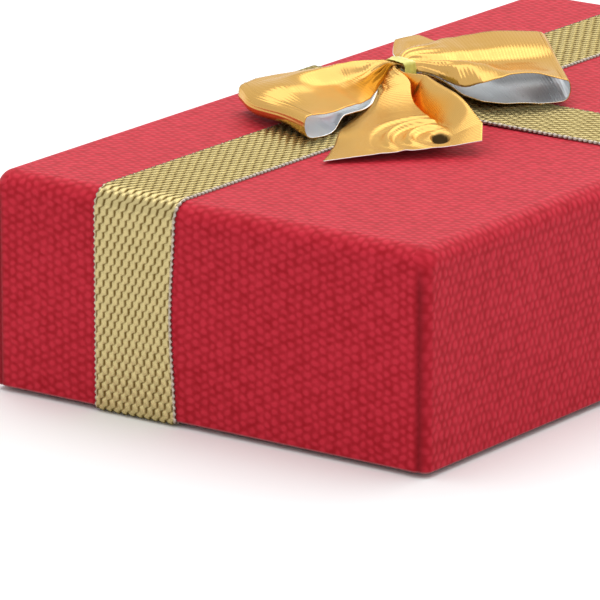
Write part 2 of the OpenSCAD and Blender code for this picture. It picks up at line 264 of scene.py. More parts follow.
def covering_paper(name, settings, mapped):
    """Matt red paper with a staggered basket emboss, painted darker as shade in its hollows and, on
    the mapped sheet, along the corner seams; mapped reads the flat sheet's own place
    """
    f = Finish(name, Specular_IOR_Level=0.13, Sheen_Weight=0.04, Sheen_Roughness=0.45)
    place = f.place("UV" if mapped else "Object")
    across, along, _ = f.split(place)
    # rows and columns of dots that swerve a little
    swerve = f.scaled(f.noise(place, 430.0, 1.0), 3.0, -1.5)
    slip = f.scaled(f.noise(place, 560.0, 1.0), 4.4, -2.2)
    p = f.scaled(across, math.pi / settings.dot_width, swerve)
    q = f.scaled(along, 2 * math.pi / settings.dot_height, slip)
    staggered = f.math("MULTIPLY", f.math("COSINE", p), f.math("COSINE", q))
    columns = f.math("COSINE", f.math("MULTIPLY", p, 2.0))
    dots = f.smooth(f.scaled(columns, 0.42, staggered), -1.25, 1.35)
    # painted shade in the hollows between the dots, and ink that took unevenly: by patch, by dot,
    # by blotch and by fibre
    patches = f.noise(place, 95.0, 3.0, 0.6)
    single = f.noise(place, 620.0, 1.0)
    blotch = f.noise(f.stretched(place, 1.0, 0.6), 1250.0, 2.0, 0.6)
    fibre = f.noise(f.stretched(place, 1.0, 2.2), 5200.0, 2.0, 0.6)
    ink_and_hollow_shade = f.scaled(single, 1.3, f.scaled(patches, 0.5, dots))
    ink_and_hollow_shade = f.scaled(fibre, 0.3, f.scaled(blotch, 0.9, ink_and_hollow_shade))
    # painted shade: the colour runs down to the darker colour of the hollows where the dots'
    # pattern lies low
    hollow_shade = settings.hollow_shade_colour
    colour = f.between(f.smooth(ink_and_hollow_shade, 1.05, 2.75), rgba(hollow_shade), rgba(settings.colour))
    if mapped:
        # painted shade: darker along the corner seams, where the crease mark is high
        colour = f.between(f.attribute("crease"), colour, rgba(hollow_shade, 0.5))
        # a mauve grey tint on the paper's fold at the rim
        colour = f.between(f.attribute("wear"), colour, (0.42, 0.16, 0.17, 1.0))
    pressed = f.math("MULTIPLY", dots, f.scaled(patches, 0.9, 0.35))
    raised = f.relief(pressed, settings.emboss / MM, f.relief(fibre, 0.008))
    return f.finish(Base_Color=colour, Normal=raised, Roughness=f.scaled(fibre, 0.16, 0.52))


def plain_paper(name, colour, speck, grain):
    """Uncoated paper or board with fibres and specks"""
    f = Finish(name, Roughness=0.85, Specular_IOR_Level=0.3)
    place = f.place()
    fibre = f.noise(f.stretched(place, 1.0, 0.35), grain, 3.0, 0.65)
    share = f.smooth(f.scaled(f.noise(place, 140.0, 2.0), 0.5, fibre), 0.45, 1.05)
    tone = f.between(share, rgba(colour, 0.84), rgba(colour, 1.06))
    specks = f.smooth(f.noise(place, grain * 0.7, 1.0), 0.66, 0.74)
    tone = f.between(f.math("MULTIPLY", specks, 0.6), tone, (*speck, 1.0))
    return f.finish(Base_Color=tone, Normal=f.relief(fibre, 0.03))


def flock_pile(settings):
    """Short soft pile"""
    f = Finish("flock_pile", Roughness=0.95, Specular_IOR_Level=0.2, Sheen_Weight=0.35)
    place = f.place()
    pile = f.noise(place, 3800.0, 2.0, 0.7)
    brushed = f.noise(f.stretched(place, 1.0, 0.5), 90.0, 2.0)
    share = f.scaled(brushed, 0.6, f.math("MULTIPLY", pile, 0.5))
    tone = f.between(share, rgba(settings.colour, 0.72), rgba(settings.colour, 1.12))
    return f.finish(Base_Color=tone, Normal=f.relief(pile, 0.12))


def open_foam():
    """White sponge with open cells, painted darker in their pits as shade"""
    f = Finish("sponge", Roughness=0.9, Specular_IOR_Level=0.25)
    cells = f.add("TexVoronoi", {"Vector": f.place(), "Scale": 1500.0}, feature="F1").outputs[0]
    depth = f.smooth(cells, 0.1, 0.75)
    # painted shade: the lower a cell's pit, the darker its colour
    tone = f.between(depth, (0.50, 0.48, 0.43, 1.0), (0.86, 0.85, 0.81, 1.0))
    return f.finish(Base_Color=tone, Normal=f.relief(depth, 0.25))


def woven_yarn(settings):
    """Shiny yarn over gaps, with painted shade that darkens it the lower it lies, and silvery edges
    by how far across it lies
    """
    tint = (0.12, 0.11, 0.10, 1.0)
    f = Finish("woven_yarn", Metallic=0.85, Specular_IOR_Level=0.5, Specular_Tint=tint)
    place = f.place("UV")
    strands = f.noise(f.stretched(place, 9000.0, 1500.0), 1.0, 2.0, 0.6)
    fleck = f.noise(place, 700.0, 2.0, 0.7)
    lift = f.scaled(strands, 0.22, f.scaled(fleck, 0.3, -0.25))
    # painted shade: the colour follows the yarn's height, from the dark gap colour up to the gold
    share = f.smooth(f.math("ADD", f.attribute("yarn_height"), lift), 0.1, 0.72)
    gold = f.between(fleck, rgba(settings.colour, 0.86), rgba(settings.colour, 1.12))
    silver = f.between(strands, rgba(settings.edge_colour, 0.62), rgba(settings.edge_colour, 1.2))
    tone = f.between(share, rgba(settings.gap_shade_colour), gold)
    tone = f.between(f.attribute("ribbon_edge"), tone, silver)
    rough = f.scaled(strands, 0.16, 0.18)
    return f.finish(Base_Color=tone, Roughness=rough, Normal=f.relief(strands, 0.03))


def foil(name, colour, warm, deep, rough, **surface):
    """Metallised film with faint drawing lines, with painted reflection and shade (warmer or
    darker) where the deep mark lies, and painted dark shade, bare and dull, where the dent mark
    lies"""
    metallic = 0.88
    f = Finish(name, Specular_IOR_Level=0.0, **surface)
    place = f.place("UV")
    lines = f.noise(f.stretched(place, 260.0, 5200.0), 1.0, 2.0, 0.6)
    tone = f.between(f.noise(place, 160.0, 2.0), rgba(warm), rgba(colour, 1.04))
    tone = f.between(f.math("MULTIPLY", lines, 0.35), tone, rgba(colour, 0.82))
    # painted reflection and shade: the deep mark blends toward the deep colour
    tone = f.between(f.attribute("deep"), tone, rgba(deep))
    # painted shade: the dent mark blends toward near black
    tone = f.between(f.attribute("dent"), tone, (0.055, 0.032, 0.012, 1.0))
    pit = f.math("POWER", f.attribute("dent"), 4.0)
    level = f.scaled(pit, 0.5, f.scaled(lines, 0.10, rough))
    metal = f.scaled(pit, -metallic, metallic)
    raised = f.relief(lines, 0.0035)
    return f.finish(Base_Color=tone, Metallic=metal, Roughness=level, Normal=raised)


def steel_wire():
    f = Finish("steel_wire", Metallic=1.0)
    drawn = f.noise(f.stretched(f.place(), 1.0, 1.0, 6.0), 4000.0, 2.0)
    tone = f.between(drawn, (0.45, 0.45, 0.46, 1.0), (0.68, 0.68, 0.69, 1.0))
    return f.finish(Base_Color=tone, Roughness=f.scaled(drawn, 0.2, 0.25))


def cloudy(name, low, high, scale, millimetres, **surface):
    """Film or glue whose tone and relief follow one noise"""
    f = Finish(name, **surface)
    cloud = f.noise(f.place(), scale, 3.0, 0.6)
    return f.finish(Base_Color=f.between(cloud, low, high), Normal=f.relief(cloud, millimetres))


def dress(material, *nodes):
    """Gives frame nodes this material in every slot"""
    for node in nodes:
        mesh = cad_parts[node].data
        if not mesh.materials:
            mesh.materials.append(material)
        for i in range(len(mesh.materials)):
            mesh.materials[i] = material


# ---- meshes --------------------------------------------------------------------------------


def ease(x, low=0.0, high=1.0):
    """0 up to low, 1 from high on, smooth between them"""
    c = np.clip((np.asarray(x, float) - low) / (high - low), 0, 1)
    return c * c * (3 - 2 * c)


def bell(x, middle, spread):
    return np.exp(-(((np.asarray(x, float) - middle) / spread) ** 2))


def near(distance, spread):
    """1 at no distance, fading out on both sides of it"""
    return math.exp(-((distance / spread) ** 2))


def grid_quads(rows, columns, first=0, closed=False):
    """Faces of a grid of points, row by row"""
    r = np.arange(rows - 1)[:, None]
    c = np.arange(columns if closed else columns - 1)[None, :]
    low, high, onward = r * columns, (r + 1) * columns, (c + 1) % columns
    corners = (low + c, low + onward, high + onward, high + c)
    return first + np.stack([x.ravel() for x in corners], 1)


def grid_rim(rows, columns):
    """The points round the edge of a grid, in order"""
    ring = list(range(columns)) + [i * columns + columns - 1 for i in range(1, rows)]
    ring += [(rows - 1) * columns + i for i in range(columns - 2, -1, -1)]
    return np.array(ring + [i * columns for i in range(rows - 2, 0, -1)])


def skirt(rings):
    """Faces between closed rings of points, from the upper ring down"""
    walls = [
        np.stack([a, b, np.roll(b, -1), np.roll(a, -1)], 1) for a, b in zip(rings, rings[1:])
    ]
    return np.vstack(walls)


def make_piece(name, points, faces, materials, flat=None, values=None, slots=None):
    """A smooth mesh object. flat gives each point's place on the uncut sheet, and values gives
    named numbers for each point"""
    mesh = bpy.data.meshes.new(name)
    mesh.from_pydata(np.asarray(points, float).tolist(), [], [list(map(int, f)) for f in faces])
    for material in materials:
        mesh.materials.append(material)
    for key, numbers in (values or {}).items():
        layer = mesh.attributes.new(key, "FLOAT", "POINT")
        layer.data.foreach_set("value", np.asarray(numbers, np.float32))
    if flat is not None:
        corner = np.zeros(len(mesh.loops), np.int32)
        mesh.loops.foreach_get("vertex_index", corner)
        layer = mesh.uv_layers.new(name="sheet")
        layer.data.foreach_set("uv", np.asarray(flat, np.float32)[corner].ravel())
    if slots is not None:
        mesh.polygons.foreach_set("material_index", np.asarray(slots, np.int32))
    mesh.polygons.foreach_set("use_smooth", np.ones(len(mesh.polygons), bool))
    mesh.validate()
    mesh.update()
    piece = bpy.data.objects.new(name, mesh)
    bpy.context.scene.collection.objects.link(piece)
    return piece


def weld(piece, distance):
    """Joins points that lie on each other"""
    piece.modifiers.new("weld", "WELD").merge_threshold = distance


def place_piece(piece, body, node):
    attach(piece, body)
    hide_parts(node)


def spline(points, steps):
    """Smooth curve through points, with that many steps between each two"""
    p = np.asarray(points, float)
    p = np.vstack([2 * p[0] - p[1], p, 2 * p[-1] - p[-2]])
    t = (np.arange(steps) / steps)[:, None]
    made = []
    for i in range(1, len(p) - 2):
        a, b, c, d = p[i - 1 : i + 3]
        bend, twist = 2 * a - 5 * b + 4 * c - d, 3 * b - a - 3 * c + d
        made.append(0.5 * (2 * b + (c - a) * t + bend * t**2 + twist * t**3))
    return np.vstack(made + [p[-2:-1]])


def evenly(line, spacing):
    """Points along a line at an even spacing, and the length up to each"""
    line = np.asarray(line, float)
    length = np.concatenate([[0], np.cumsum(np.linalg.norm(np.diff(line, axis=0), axis=1))])
    count = max(2, int(round(length[-1] / spacing)) + 1)
    at = np.linspace(0, length[-1], count)
    return np.stack([np.interp(at, length, line[:, k]) for k in range(line.shape[1])], 1), at


def headings(line):
    """The direction of a line at each of its points"""
    along = np.gradient(line, axis=0)
    return along / np.linalg.norm(along, axis=1)[:, None]


def on_circle(cx, cy, r, degrees):
    return [(cx + r * math.cos(t), cy + r * math.sin(t)) for t in np.radians(degrees)]


def arc(cx, cy, r, start, end, steps):
    return on_circle(cx, cy, r, np.linspace(start, end, steps + 1))


# ---- covering papers -----------------------------------------------------------------------

FOLD = 0.3 * MM  # radius of the paper's folds at a rim
FLAP = 12 * MM  # how far the base's paper runs under its floor
INSIDE_RADIUS = 0.12 * MM  # of the corners inside
COLUMN_SPACING = 1.0 * MM
RIM_REACH = 3.5 * MM  # how far from a rim the paper is a little uneven
SEAM_REACH = 2.2 * MM  # how far from its edge an end panel stands up
GROOVE = 0.36 * MM  # half width of the groove beside that edge
BESIDE_CORNER = np.array([0.14, 0.34, 0.6, 1.0, 1.8]) * MM  # finer columns, from each corner on


def sheet_columns(half_w, half_d, r):
    """Where the paper's columns stand: side 0 to 7, place -1 to 1 along a straight side, and angle
    round a corner"""
    columns = []
    for side, half in enumerate((half_w - r, half_d - r) * 2):
        inner = np.linspace(-half, half, int(round(2 * half / COLUMN_SPACING)) + 1)
        ends = half - BESIDE_CORNER
        places = sorted(set(np.round(np.concatenate([inner, ends, -ends]) / half, 5)))
        if side % 2:
            places = places[1:-1]
        columns += [(2 * side, f, 0.0) for f in places]
        start = -90 + 90 * side
        columns += [(2 * side + 1, 0.0, math.radians(start + a)) for a in np.linspace(0, 90, 7)]
    return columns


def column_place(column, w, d, r):
    """A column's point and outward direction on a rounded rectangle"""
    side, f, angle = column
    if side % 2:
        cx, cy = ((1, -1), (1, 1), (-1, 1), (-1, -1))[side // 2]
        nx, ny = math.cos(angle), math.sin(angle)
        return cx * (w - r) + r * nx, cy * (d - r) + r * ny, nx, ny
    return (
        (f * (w - r), -d, 0.0, -1.0),
        (w, f * (d - r), 1.0, 0.0),
        (-f * (w - r), d, 0.0, 1.0),
        (-w, -f * (d - r), -1.0, 0.0),
    )[side // 2]


def wrap_rows(settings, low, high, open_top):
    """The paper's profile, row by row: inset, height, corner radius, length along the sheet, and
    whether the row lies on the outer wall"""
    e, r = settings.edge_radius, settings.corner_radius
    bottom, top = low.z, high.z
    rim, up = (top, 1) if open_top else (bottom, -1)
    if open_top:
        line = [(FLAP, bottom), (FLAP / 2, bottom), (1.5 * MM, bottom)]
        line += on_circle(FOLD, bottom + FOLD, FOLD, (270, 240, 210, 180))
        start = bottom + FOLD
    else:
        line = arc(e, top - e, e, 90, 180, 10)
        start = top - e
    line += [(0.0, z) for z in np.linspace(start, rim - up * FOLD, 24)[1:]]
    over = on_circle(FOLD, 0, FOLD, (158, 135, 112, 90))
    over += on_circle(WALL - FOLD, 0, FOLD, (90, 60, 30, 0))
    line += [(x, rim - up * (FOLD - z)) for x, z in over]
    line += [(WALL, z) for z in np.linspace(rim - up * FOLD, rim - up * settings.turn_in, 9)[1:]]
    rows, length = [], 0.0
    for i, (inset, z) in enumerate(line):
        if i:
            length += math.dist(line[i - 1], line[i])
        if not open_top and z > top - e:
            lift = math.asin(min(1.0, (z - top + e) / e))
            ball = e * math.cos(lift)
            radius = r + (ball - r) * float(ease(math.degrees(lift), 0, 25))
        elif inset > 1.0 * MM:
            radius = INSIDE_RADIUS
        else:
            radius = r - min(inset, 0.6 * r)
        rows.append((inset, z, radius, length, inset < 0.05 * MM))
    return rows


def wrap_sheet(name, settings, material, low, high, open_top, seed):
    """Covering paper of the lid or the base: one sheet round the walls, its end panels glued over
    the paper that is tucked round the corners"""
    half_w, half_d = high.x, high.y
    columns = sheet_columns(half_w, half_d, settings.corner_radius)
    rows = wrap_rows(settings, low, high, open_top)
    rim = high.z if open_top else low.z
    start, first_z = rows[0][:2]
    rng = np.random.default_rng(seed)
    waves = [
        (rng.uniform(0.05, 0.5) / MM * 0.4, rng.uniform(0, 6.3), rng.uniform(0.3, 1.0))
        for _ in range(7)
    ]
    points, flat, crease, wear = [], [], [], []
    for inset, z, r, length, wall in rows:
        near_rim = near(z - rim, RIM_REACH)
        # the seams at the corners fade out towards the lid's top, and aren't made inside
        below = float(ease(LID_TOP - z, 0.6 * MM, 5.2 * MM)) if inset < 1.6 * MM else 0.0
        at_fold = 0 < inset < 0.5 * MM and abs(z - rim) < 0.5 * MM
        for column in columns:
            side = column[0]
            x, y, nx, ny = column_place(column, half_w - inset, half_d - inset, r)
            end_panel, corner = side in (0, 4), side % 2
            sway = near_rim * sum(a * math.sin(k * (x + 1.7 * y) + p) for k, p, a in waves) / 4
            out, shade = 0.03 * MM * sway, 0.0
            if end_panel:
                edge = half_w - inset - r - abs(x)
                lap = math.exp(-edge / SEAM_REACH) - 1.9 * near(edge, GROOVE)
                out += settings.seam_step * below * lap
                shade = near(edge, 0.45 * MM)
            elif corner:
                out -= 0.9 * settings.seam_step * below * near(nx, 0.3)
                shade = near(nx, 0.62)
            points.append((x + nx * out, y + ny * out, z + 0.045 * MM * sway))
            if end_panel:
                flat.append((x, math.copysign(half_d - start + length, y)))
            else:
                flat.append((math.copysign(half_w - start + length, x), y))
            # crease mark: painted shade along each end panel's edge and round each corner, stronger
            # on the outer wall
            crease.append(0.8 * shade * below * (1.0 if wall else 0.4))
            # mauve grey tint along the paper's fold at the rim
            wear.append(0.55 if at_fold else 0.0)
    faces = grid_quads(len(rows), len(columns), closed=True)
    if not open_top:
        faces = faces[:, ::-1]
        first = len(points)
        xs = sorted({round(points[i][0], 7) for i, c in enumerate(columns) if c[0] == 0})
        ys = sorted({round(points[i][1], 7) for i, c in enumerate(columns) if c[0] == 2})
        xs = [start - half_w] + xs[1:-1] + [half_w - start]
        ys = [start - half_d] + ys + [half_d - start]
        panel = [(x, y) for y in ys for x in xs]
        points += [(x, y, first_z) for x, y in panel]
        flat += panel
        crease += [0.0] * len(panel)
        wear += [0.0] * len(panel)
        faces = np.vstack([faces, grid_quads(len(ys), len(xs), first)])
    piece = make_piece(name, points, faces, [material], flat, {"crease": crease, "wear": wear})
    weld(piece, 0.002 * MM)
    depth = piece.modifiers.new("thickness", "SOLIDIFY")
    depth.thickness = settings.thickness * 0.8
    depth.offset = -1
    return piece


class GIFTBOX_OT_papers(bpy.types.Operator):
    """Cover lid and base with embossed paper, turned in over their rims"""

    bl_idname = "giftbox.papers"
    bl_label = "Covering papers"

    def execute(self, context):
        s = context.scene.gift_box_paper
        paper = covering_paper("red_paper_sheet", s, True)
        lid = wrap_sheet("lid_covering_paper", s, paper, LID_LOW, LID_HIGH, False, 3)
        place_piece(lid, "lid", "lid_wrap")
        base = wrap_sheet("base_covering_paper", s, paper, BASE_LOW, BASE_HIGH, True, 8)
        place_piece(base, "base", "base_wrap")
        dress(covering_paper("red_paper_underside", s, False), "base_underside_paper")
        return {"FINISHED"}


class GIFTBOX_OT_boards(bpy.types.Operator):
    """Finish the greyboard trays, their corner tapes and their linings"""

    bl_idname = "giftbox.boards"
    bl_label = "Boards and linings"

    def execute(self, context):
        board = plain_paper("greyboard", (0.40, 0.36, 0.30), (0.20, 0.17, 0.14), 1700.0)
        tape = plain_paper("kraft_tape", (0.46, 0.30, 0.16), (0.28, 0.17, 0.08), 2400.0)
        liner = plain_paper("lining_paper", (0.82, 0.77, 0.66), (0.62, 0.55, 0.43), 3200.0)
        dress(board, "base_board", "lid_board", "insert_card")
        dress(tape, "base_corner_stays", "lid_corner_stays")
        dress(liner, "base_liner", "lid_liner")
        return {"FINISHED"}


# ---- insert --------------------------------------------------------------------------------

CLOSE_POINTS = np.linspace(-1.2, 1.2, 9) * MM  # round each edge of a slot
COVER_EDGE = np.array([0.0, 0.06, 0.2, 0.45, 0.9]) * MM  # and in from the cover's edge


def slot_shapes(s):
    """Middle, width and depth of the ring slot and of both chain slots"""
    back = COVER_HIGH.y - s.chain_slot_inset
    chains = [(k * s.chain_slot_gap / 2, back, s.slot_width, s.chain_slot) for k in (-1, 1)]
    return [(0.0, 0.0, s.ring_slot, s.slot_width)] + chains


def slot_dents(x, y, s):
    """How deep the flocked cover rolls down at each slot, 0 to 1"""
    dent = np.zeros(np.broadcast(x, y).shape)
    for cx, cy, w, d in slot_shapes(s):
        gap = np.hypot(np.maximum(abs(x - cx) - w / 2, 0), np.maximum(abs(y - cy) - d / 2, 0))
        dent = np.maximum(dent, bell(gap, 0, 0.45 * MM))
    return dent


def with_extra(half, extra):
    """Places about a millimetre apart from -half to half, with finer ones round some places"""
    places = np.linspace(-half, half, int(2 * half / (1.0 * MM)) + 1)
    places = np.sort(np.concatenate([places, *extra]))
    places = places[(places >= -half) & (places <= half)]
    return places[np.concatenate([[True], np.diff(places) > 0.12 * MM])]


class GIFTBOX_OT_insert(bpy.types.Operator):
    """Make the foam pad and its flocked cover with a ring slot and two chain slots"""

    bl_idname = "giftbox.insert"
    bl_label = "Jewellery insert"

    def execute(self, context):
        s = context.scene.gift_box_insert
        self.cover(s)
        self.foam(s)
        return {"FINISHED"}

    def cover(self, s):
        w, d, top = COVER_HIGH
        r = 0.9 * MM
        x_marks, y_marks = [], []
        for cx, cy, slot_w, slot_d in slot_shapes(s):
            x_marks += [cx + k * slot_w / 2 + CLOSE_POINTS for k in (-1, 1)]
            y_marks += [cy + k * slot_d / 2 + CLOSE_POINTS for k in (-1, 1)]
        x_marks += [k * (w - COVER_EDGE) for k in (-1, 1)]
        y_marks += [k * (d - COVER_EDGE) for k in (-1, 1)]
        x, y = np.meshgrid(with_extra(w, x_marks), with_extra(d, y_marks))
        inner = np.minimum(w - abs(x), d - abs(y))
        rolled = r - np.sqrt(np.maximum(r**2 - np.maximum(r - inner, 0) ** 2, 0))
        drawn = 0.08 * MM * np.exp(-inner / (2.5 * MM))
        uneven = 0.03 * MM * np.sin(x * 310 + 2 * np.sin(y * 170)) * np.cos(y * 260)
        z = top - rolled - 6.2 * MM * slot_dents(x, y, s) ** 3 - drawn + uneven
        points = np.stack([x, y, np.minimum(z, top)], -1).reshape(-1, 3)
        ring = grid_rim(*x.shape)
        rings, parts = [ring], [points]
        for level in np.linspace(top - r, COVER_LOW.z, 9)[1:]:
            rings.append(len(points) + (len(rings) - 1) * len(ring) + np.arange(len(ring)))
            parts.append(np.column_stack([points[ring, :2], np.full(len(ring), level)]))
        faces = np.vstack([grid_quads(*x.shape), skirt(rings)])
        piece = make_piece("insert_flocked_cover", np.vstack(parts), faces, [flock_pile(s)])
        place_piece(piece, "insert", "insert_cover")

    def foam(self, s):
        low, high = FOAM_LOW, FOAM_HIGH
        w, d, h = high.x - 0.1 * MM, high.y - 0.1 * MM, high.z - low.z
        x, y = np.meshgrid(np.linspace(-w, w, 37), np.linspace(-d, d, 71))
        soft = 0.02 * MM + 0.25 * MM * np.exp(-np.minimum(w - abs(x), d - abs(y)) / (0.8 * MM))
        dents = 6.0 * MM * slot_dents(x, y, s) ** 2
        upper = np.stack([x, y, high.z - soft - dents], -1).reshape(-1, 3)
        lower = np.stack([x, y, low.z + soft], -1).reshape(-1, 3)
        ring = grid_rim(*x.shape)
        rings, parts = [ring], [upper, lower]
        for share in (0.8, 0.6, 0.4, 0.2):
            rings.append(2 * len(upper) + (len(rings) - 1) * len(ring) + np.arange(len(ring)))
            side = upper[ring].copy()
            side[:, :2] *= 1 + 0.08 * MM / w * math.sin(math.pi * share)
            side[:, 2] = low.z + share * h
            parts.append(side)
        rings.append(ring + len(upper))
        bottom = grid_quads(*x.shape, len(upper))[:, ::-1]
        faces = np.vstack([grid_quads(*x.shape), bottom, skirt(rings)])
        piece = make_piece("insert_foam_pad", np.vstack(parts), faces, [open_foam()])
        place_piece(piece, "insert", "insert_foam")


# ---- woven ribbon bands --------------------------------------------------------------------

EDGE_LOOP = 0.35 * MM  # width of the looped edge along each side of a ribbon
GROUND = 0.21 * MM  # height of the ribbon between its yarns
STEPS = 6  # mesh steps to each yarn and row


def yarns_across(width, s):
    return round((width - 2 * EDGE_LOOP) / s.column)


def weave(across, along, width, s):
    """Height of the yarn, 0 to 1, at a place across and along the ribbon: steep wavy diagonals of
    shiny yarn with low gaps between them, which the finish darkens with painted shade"""
    pitch = (width - 2 * EDGE_LOOP) / yarns_across(width, s)
    p = across / pitch
    q = along / s.row
    whole, part = np.floor(q), q - np.floor(q)
    shift = 0.5 * (whole + ease(part, 0.62, 1.0))
    lane = np.abs(p + shift - np.round(p + shift)) * 2
    step = ease(part, 0.58, 0.72) * (1 - ease(part, 0.9, 1.0))
    gap = ease(lane, 0.48, 0.84) * (1 - 0.55 * step)
    along_cell = (part - 0.33 - np.round(part - 0.33)) * 2
    pillow = np.sqrt(1 - 0.8 * lane**2) * (1 - 0.42 * along_cell**2)
    return (0.2 + 0.8 * pillow) * (1 - 0.85 * gap)


def woven_band(name, line, sideways, place, width, s, material, waist):
    """A woven ribbon along a line of (place, height) points; sideways is the way across. waist is
    how far its right edge is drawn in on the near side"""
    line, at = evenly(line, s.row / STEPS)
    along = headings(line)
    outward = np.stack([along[:, 1], -along[:, 0]], 1)
    half = width / 2
    body = half - EDGE_LOOP
    inner = np.linspace(-body, body, yarns_across(width, s) * STEPS + 1)
    outer = half - np.array([0.26, 0.17, 0.08, 0.0, 0.0]) * MM
    u, v = np.meshgrid(np.concatenate([-outer[::-1], inner, outer]), at)
    beyond = np.clip((abs(u) - body) / EDGE_LOOP, 0, 1)
    bead = 0.5 + 0.5 * np.cos(2 * np.pi * v / (s.row * 0.75))
    edge_height = (0.45 + 0.4 * bead) * np.sqrt(np.maximum(1 - beyond**2, 0))
    blend = ease(beyond, 0.0, 0.25)
    height = weave(u, v, width, s) * (1 - blend) + edge_height * blend
    lift = GROUND + (s.thickness - GROUND) * height
    lift[:, [0, -1]] = 0.0
    scallop = 1 + np.where(abs(u) > body, (bead - 0.6) * 0.2 * MM / half, 0.0)
    near_end = ease(-line[:, 0] / np.abs(line[:, 0]).max(), 0.95, 0.995)
    drawn = waist * near_end * bell(line[:, 1], 13 * MM, 9 * MM)
    across = place + u * scallop - drawn[:, None] * ease(u / half, -1.0, 1.0)
    run, up = (line[:, k, None] + outward[:, k, None] * lift for k in (0, 1))
    points = np.stack((across, run, up) if sideways == "x" else (run, across, up), -1)
    faces = grid_quads(*u.shape)
    if sideways == "x":
        faces = faces[:, ::-1]
    flat = np.stack([u, v], -1).reshape(-1, 2)
    edge = ease(beyond, 0.05, 0.4) * (0.3 + 0.7 * bead)
    # yarn_height also sets the yarn's painted shade in the finish
    values = {"yarn_height": height.ravel(), "ribbon_edge": edge.ravel()}
    piece = make_piece(name, points.reshape(-1, 3), faces, [material], flat, values)
    return piece, at[-1]


def band_line(half, paper, low, hump=None):
    """The ribbon's way over the lid, seen from the side, from one turned-in end to the other.
    hump is the middle, half width and height of another ribbon under it"""
    r, bend = paper.edge_radius, 0.12 * MM
    mouth, rim = half - WALL, low + 0.4 * MM
    one = [(mouth, low + 8.4 * MM), (mouth, rim + 2 * bend)]
    one += arc(mouth + bend, rim + bend, bend, 180, 270, 4)
    one += arc(half - bend, rim + bend, bend, 270, 360, 4)
    one += [(half, LID_TOP - r)]
    one += arc(half - r, LID_TOP - r, r, 0, 90, 14)[1:]
    over = []
    if hump:
        middle, reach, rise = hump
        out = np.linspace(reach + 1.0 * MM, reach - 0.1 * MM, 9)
        up = LID_TOP + rise * ease(np.linspace(0, 1, 9))
        over = list(zip(middle - out, up))[::-1] + list(zip(middle + out, up))
    return np.array(one + over + [(-x, z) for x, z in one[::-1]])


class GIFTBOX_OT_bands(bpy.types.Operator):
    """Wrap both woven ribbons round the lid and tape their ends inside"""

    bl_idname = "giftbox.bands"
    bl_label = "Ribbon bands"

    def execute(self, context):
        s, paper = context.scene.gift_box_bands, context.scene.gift_box_paper
        yarn = woven_yarn(s)
        hump = ((LONG_LOW.x + LONG_HIGH.x) / 2, (LONG_HIGH.x - LONG_LOW.x) / 2, s.thickness)
        long = ("long_woven_band", "long_band", "x", LONG_LOW, LONG_HIGH)
        cross = ("cross_woven_band", "cross_band", "y", CROSS_LOW, CROSS_HIGH)
        jobs = ((*long, LID_HIGH.y, None, 0.75 * MM), (*cross, LID_HIGH.x, hump, 0.0))
        for name, node, sideways, low, high, half, under, waist in jobs:
            k = "xy".index(sideways)
            width, place = high[k] - low[k], (high[k] + low[k]) / 2
            line = band_line(half, paper, low.z, under)
            piece, length = woven_band(name, line, sideways, place, width, s, yarn, waist)
            place_piece(piece, "lid", node)
        clear, pale = (0.70, 0.68, 0.60, 1.0), (0.86, 0.85, 0.80, 1.0)
        film = {"Roughness": 0.15, "Alpha": 0.35, "Specular_IOR_Level": 0.5}
        dress(cloudy("clear_film", clear, pale, 600.0, 0.02, **film), "band_end_tapes")
        return {"FINISHED"}


# ---- foil bow ------------------------------------------------------------------------------

# millimetres, from the crossing of the two bands on the lid's top
KNOT = np.array([-1.5, -1.4])
TIE_DIRECTION = 81.0  # degrees, the way the foil runs through the tie
PINCH = 1.2  # how far from the knot the foil stays gathered
GATHERED = 2.75  # width of the gathered foil
REST = 1.0  # height of the foil that lies on the bands
TAIL_LAYER = ((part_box("bow_tie")[0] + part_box("bow_tie")[1]) / 2).z / MM - LID_TOP / MM
LOW_LAYER, TOP_LAYER = TAIL_LAYER - 0.6, TAIL_LAYER + 0.6


def arm(length, direction, opens, turn, width=20.0, bulge=0.0, drawn=0.0, tucked=0.0):
    """One arm of the bow: its length and direction, where it has opened to its width, how far its
    end is turned, how far the end's middle bulges out, how far its left side is drawn in, and how
    far its right side is tucked in beside the knot"""
    return {
        "length": length,
        "direction": direction,
        "opens": opens,
        "turn": turn,
        "width": width,
        "bulge": bulge,
        "drawn": drawn,
        "tucked": tucked,
    }


RIGHT = arm(20.8, 54.7, 8.0, -12.7)
LEFT = arm(20.9, 77.2, 18.0, -15.7, 17.8, 1.7, tucked=0.64)
BACK = arm(15.0, 92.0, 11.0, -20.0)
FRONT = arm(29.6, 124.98, 25.0, 13.5, drawn=0.15)

# heights of the loops' upper layers over the lid: places across the strip from its far edge to its
# near one, then one row for each distance from the knot
RIGHT_CREST = (
    (1.0, 0.62, 0.34, 0.06, -0.25, -0.5, -0.75, -1.0),
    (1.2, 4.3, 4.7, 4.75, 4.75, 4.75, 4.7, 4.5, 3.7),
    (2.4, 4.8, 5.1, 5.05, 4.6, 4.7, 4.6, 4.2, 3.5),
    (4.0, 5.1, 5.2, 5.0, 4.2, 4.7, 4.55, 3.9, 3.0),
    (6.0, 5.0, 5.05, 4.85, 4.05, 4.9, 4.9, 4.1, 2.95),
    (8.0, 4.75, 4.85, 4.7, 3.85, 4.8, 5.15, 4.7, 3.9),
    (10.0, 4.85, 4.8, 4.65, 3.8, 4.2, 4.8, 4.75, 4.25),
    (12.0, 5.05, 4.85, 4.65, 3.75, 3.75, 4.1, 4.5, 4.65),
    (14.0, 5.2, 4.95, 4.65, 3.7, 3.75, 4.05, 4.45, 4.7),
    (16.0, 5.1, 4.9, 4.55, 3.65, 3.7, 3.95, 4.3, 4.5),
    (18.0, 4.9, 4.75, 4.45, 3.65, 3.55, 3.65, 3.9, 3.95),
    (20.8, 4.6, 4.4, 4.1, 3.7, 3.5, 3.4, 3.25, 3.1),
)
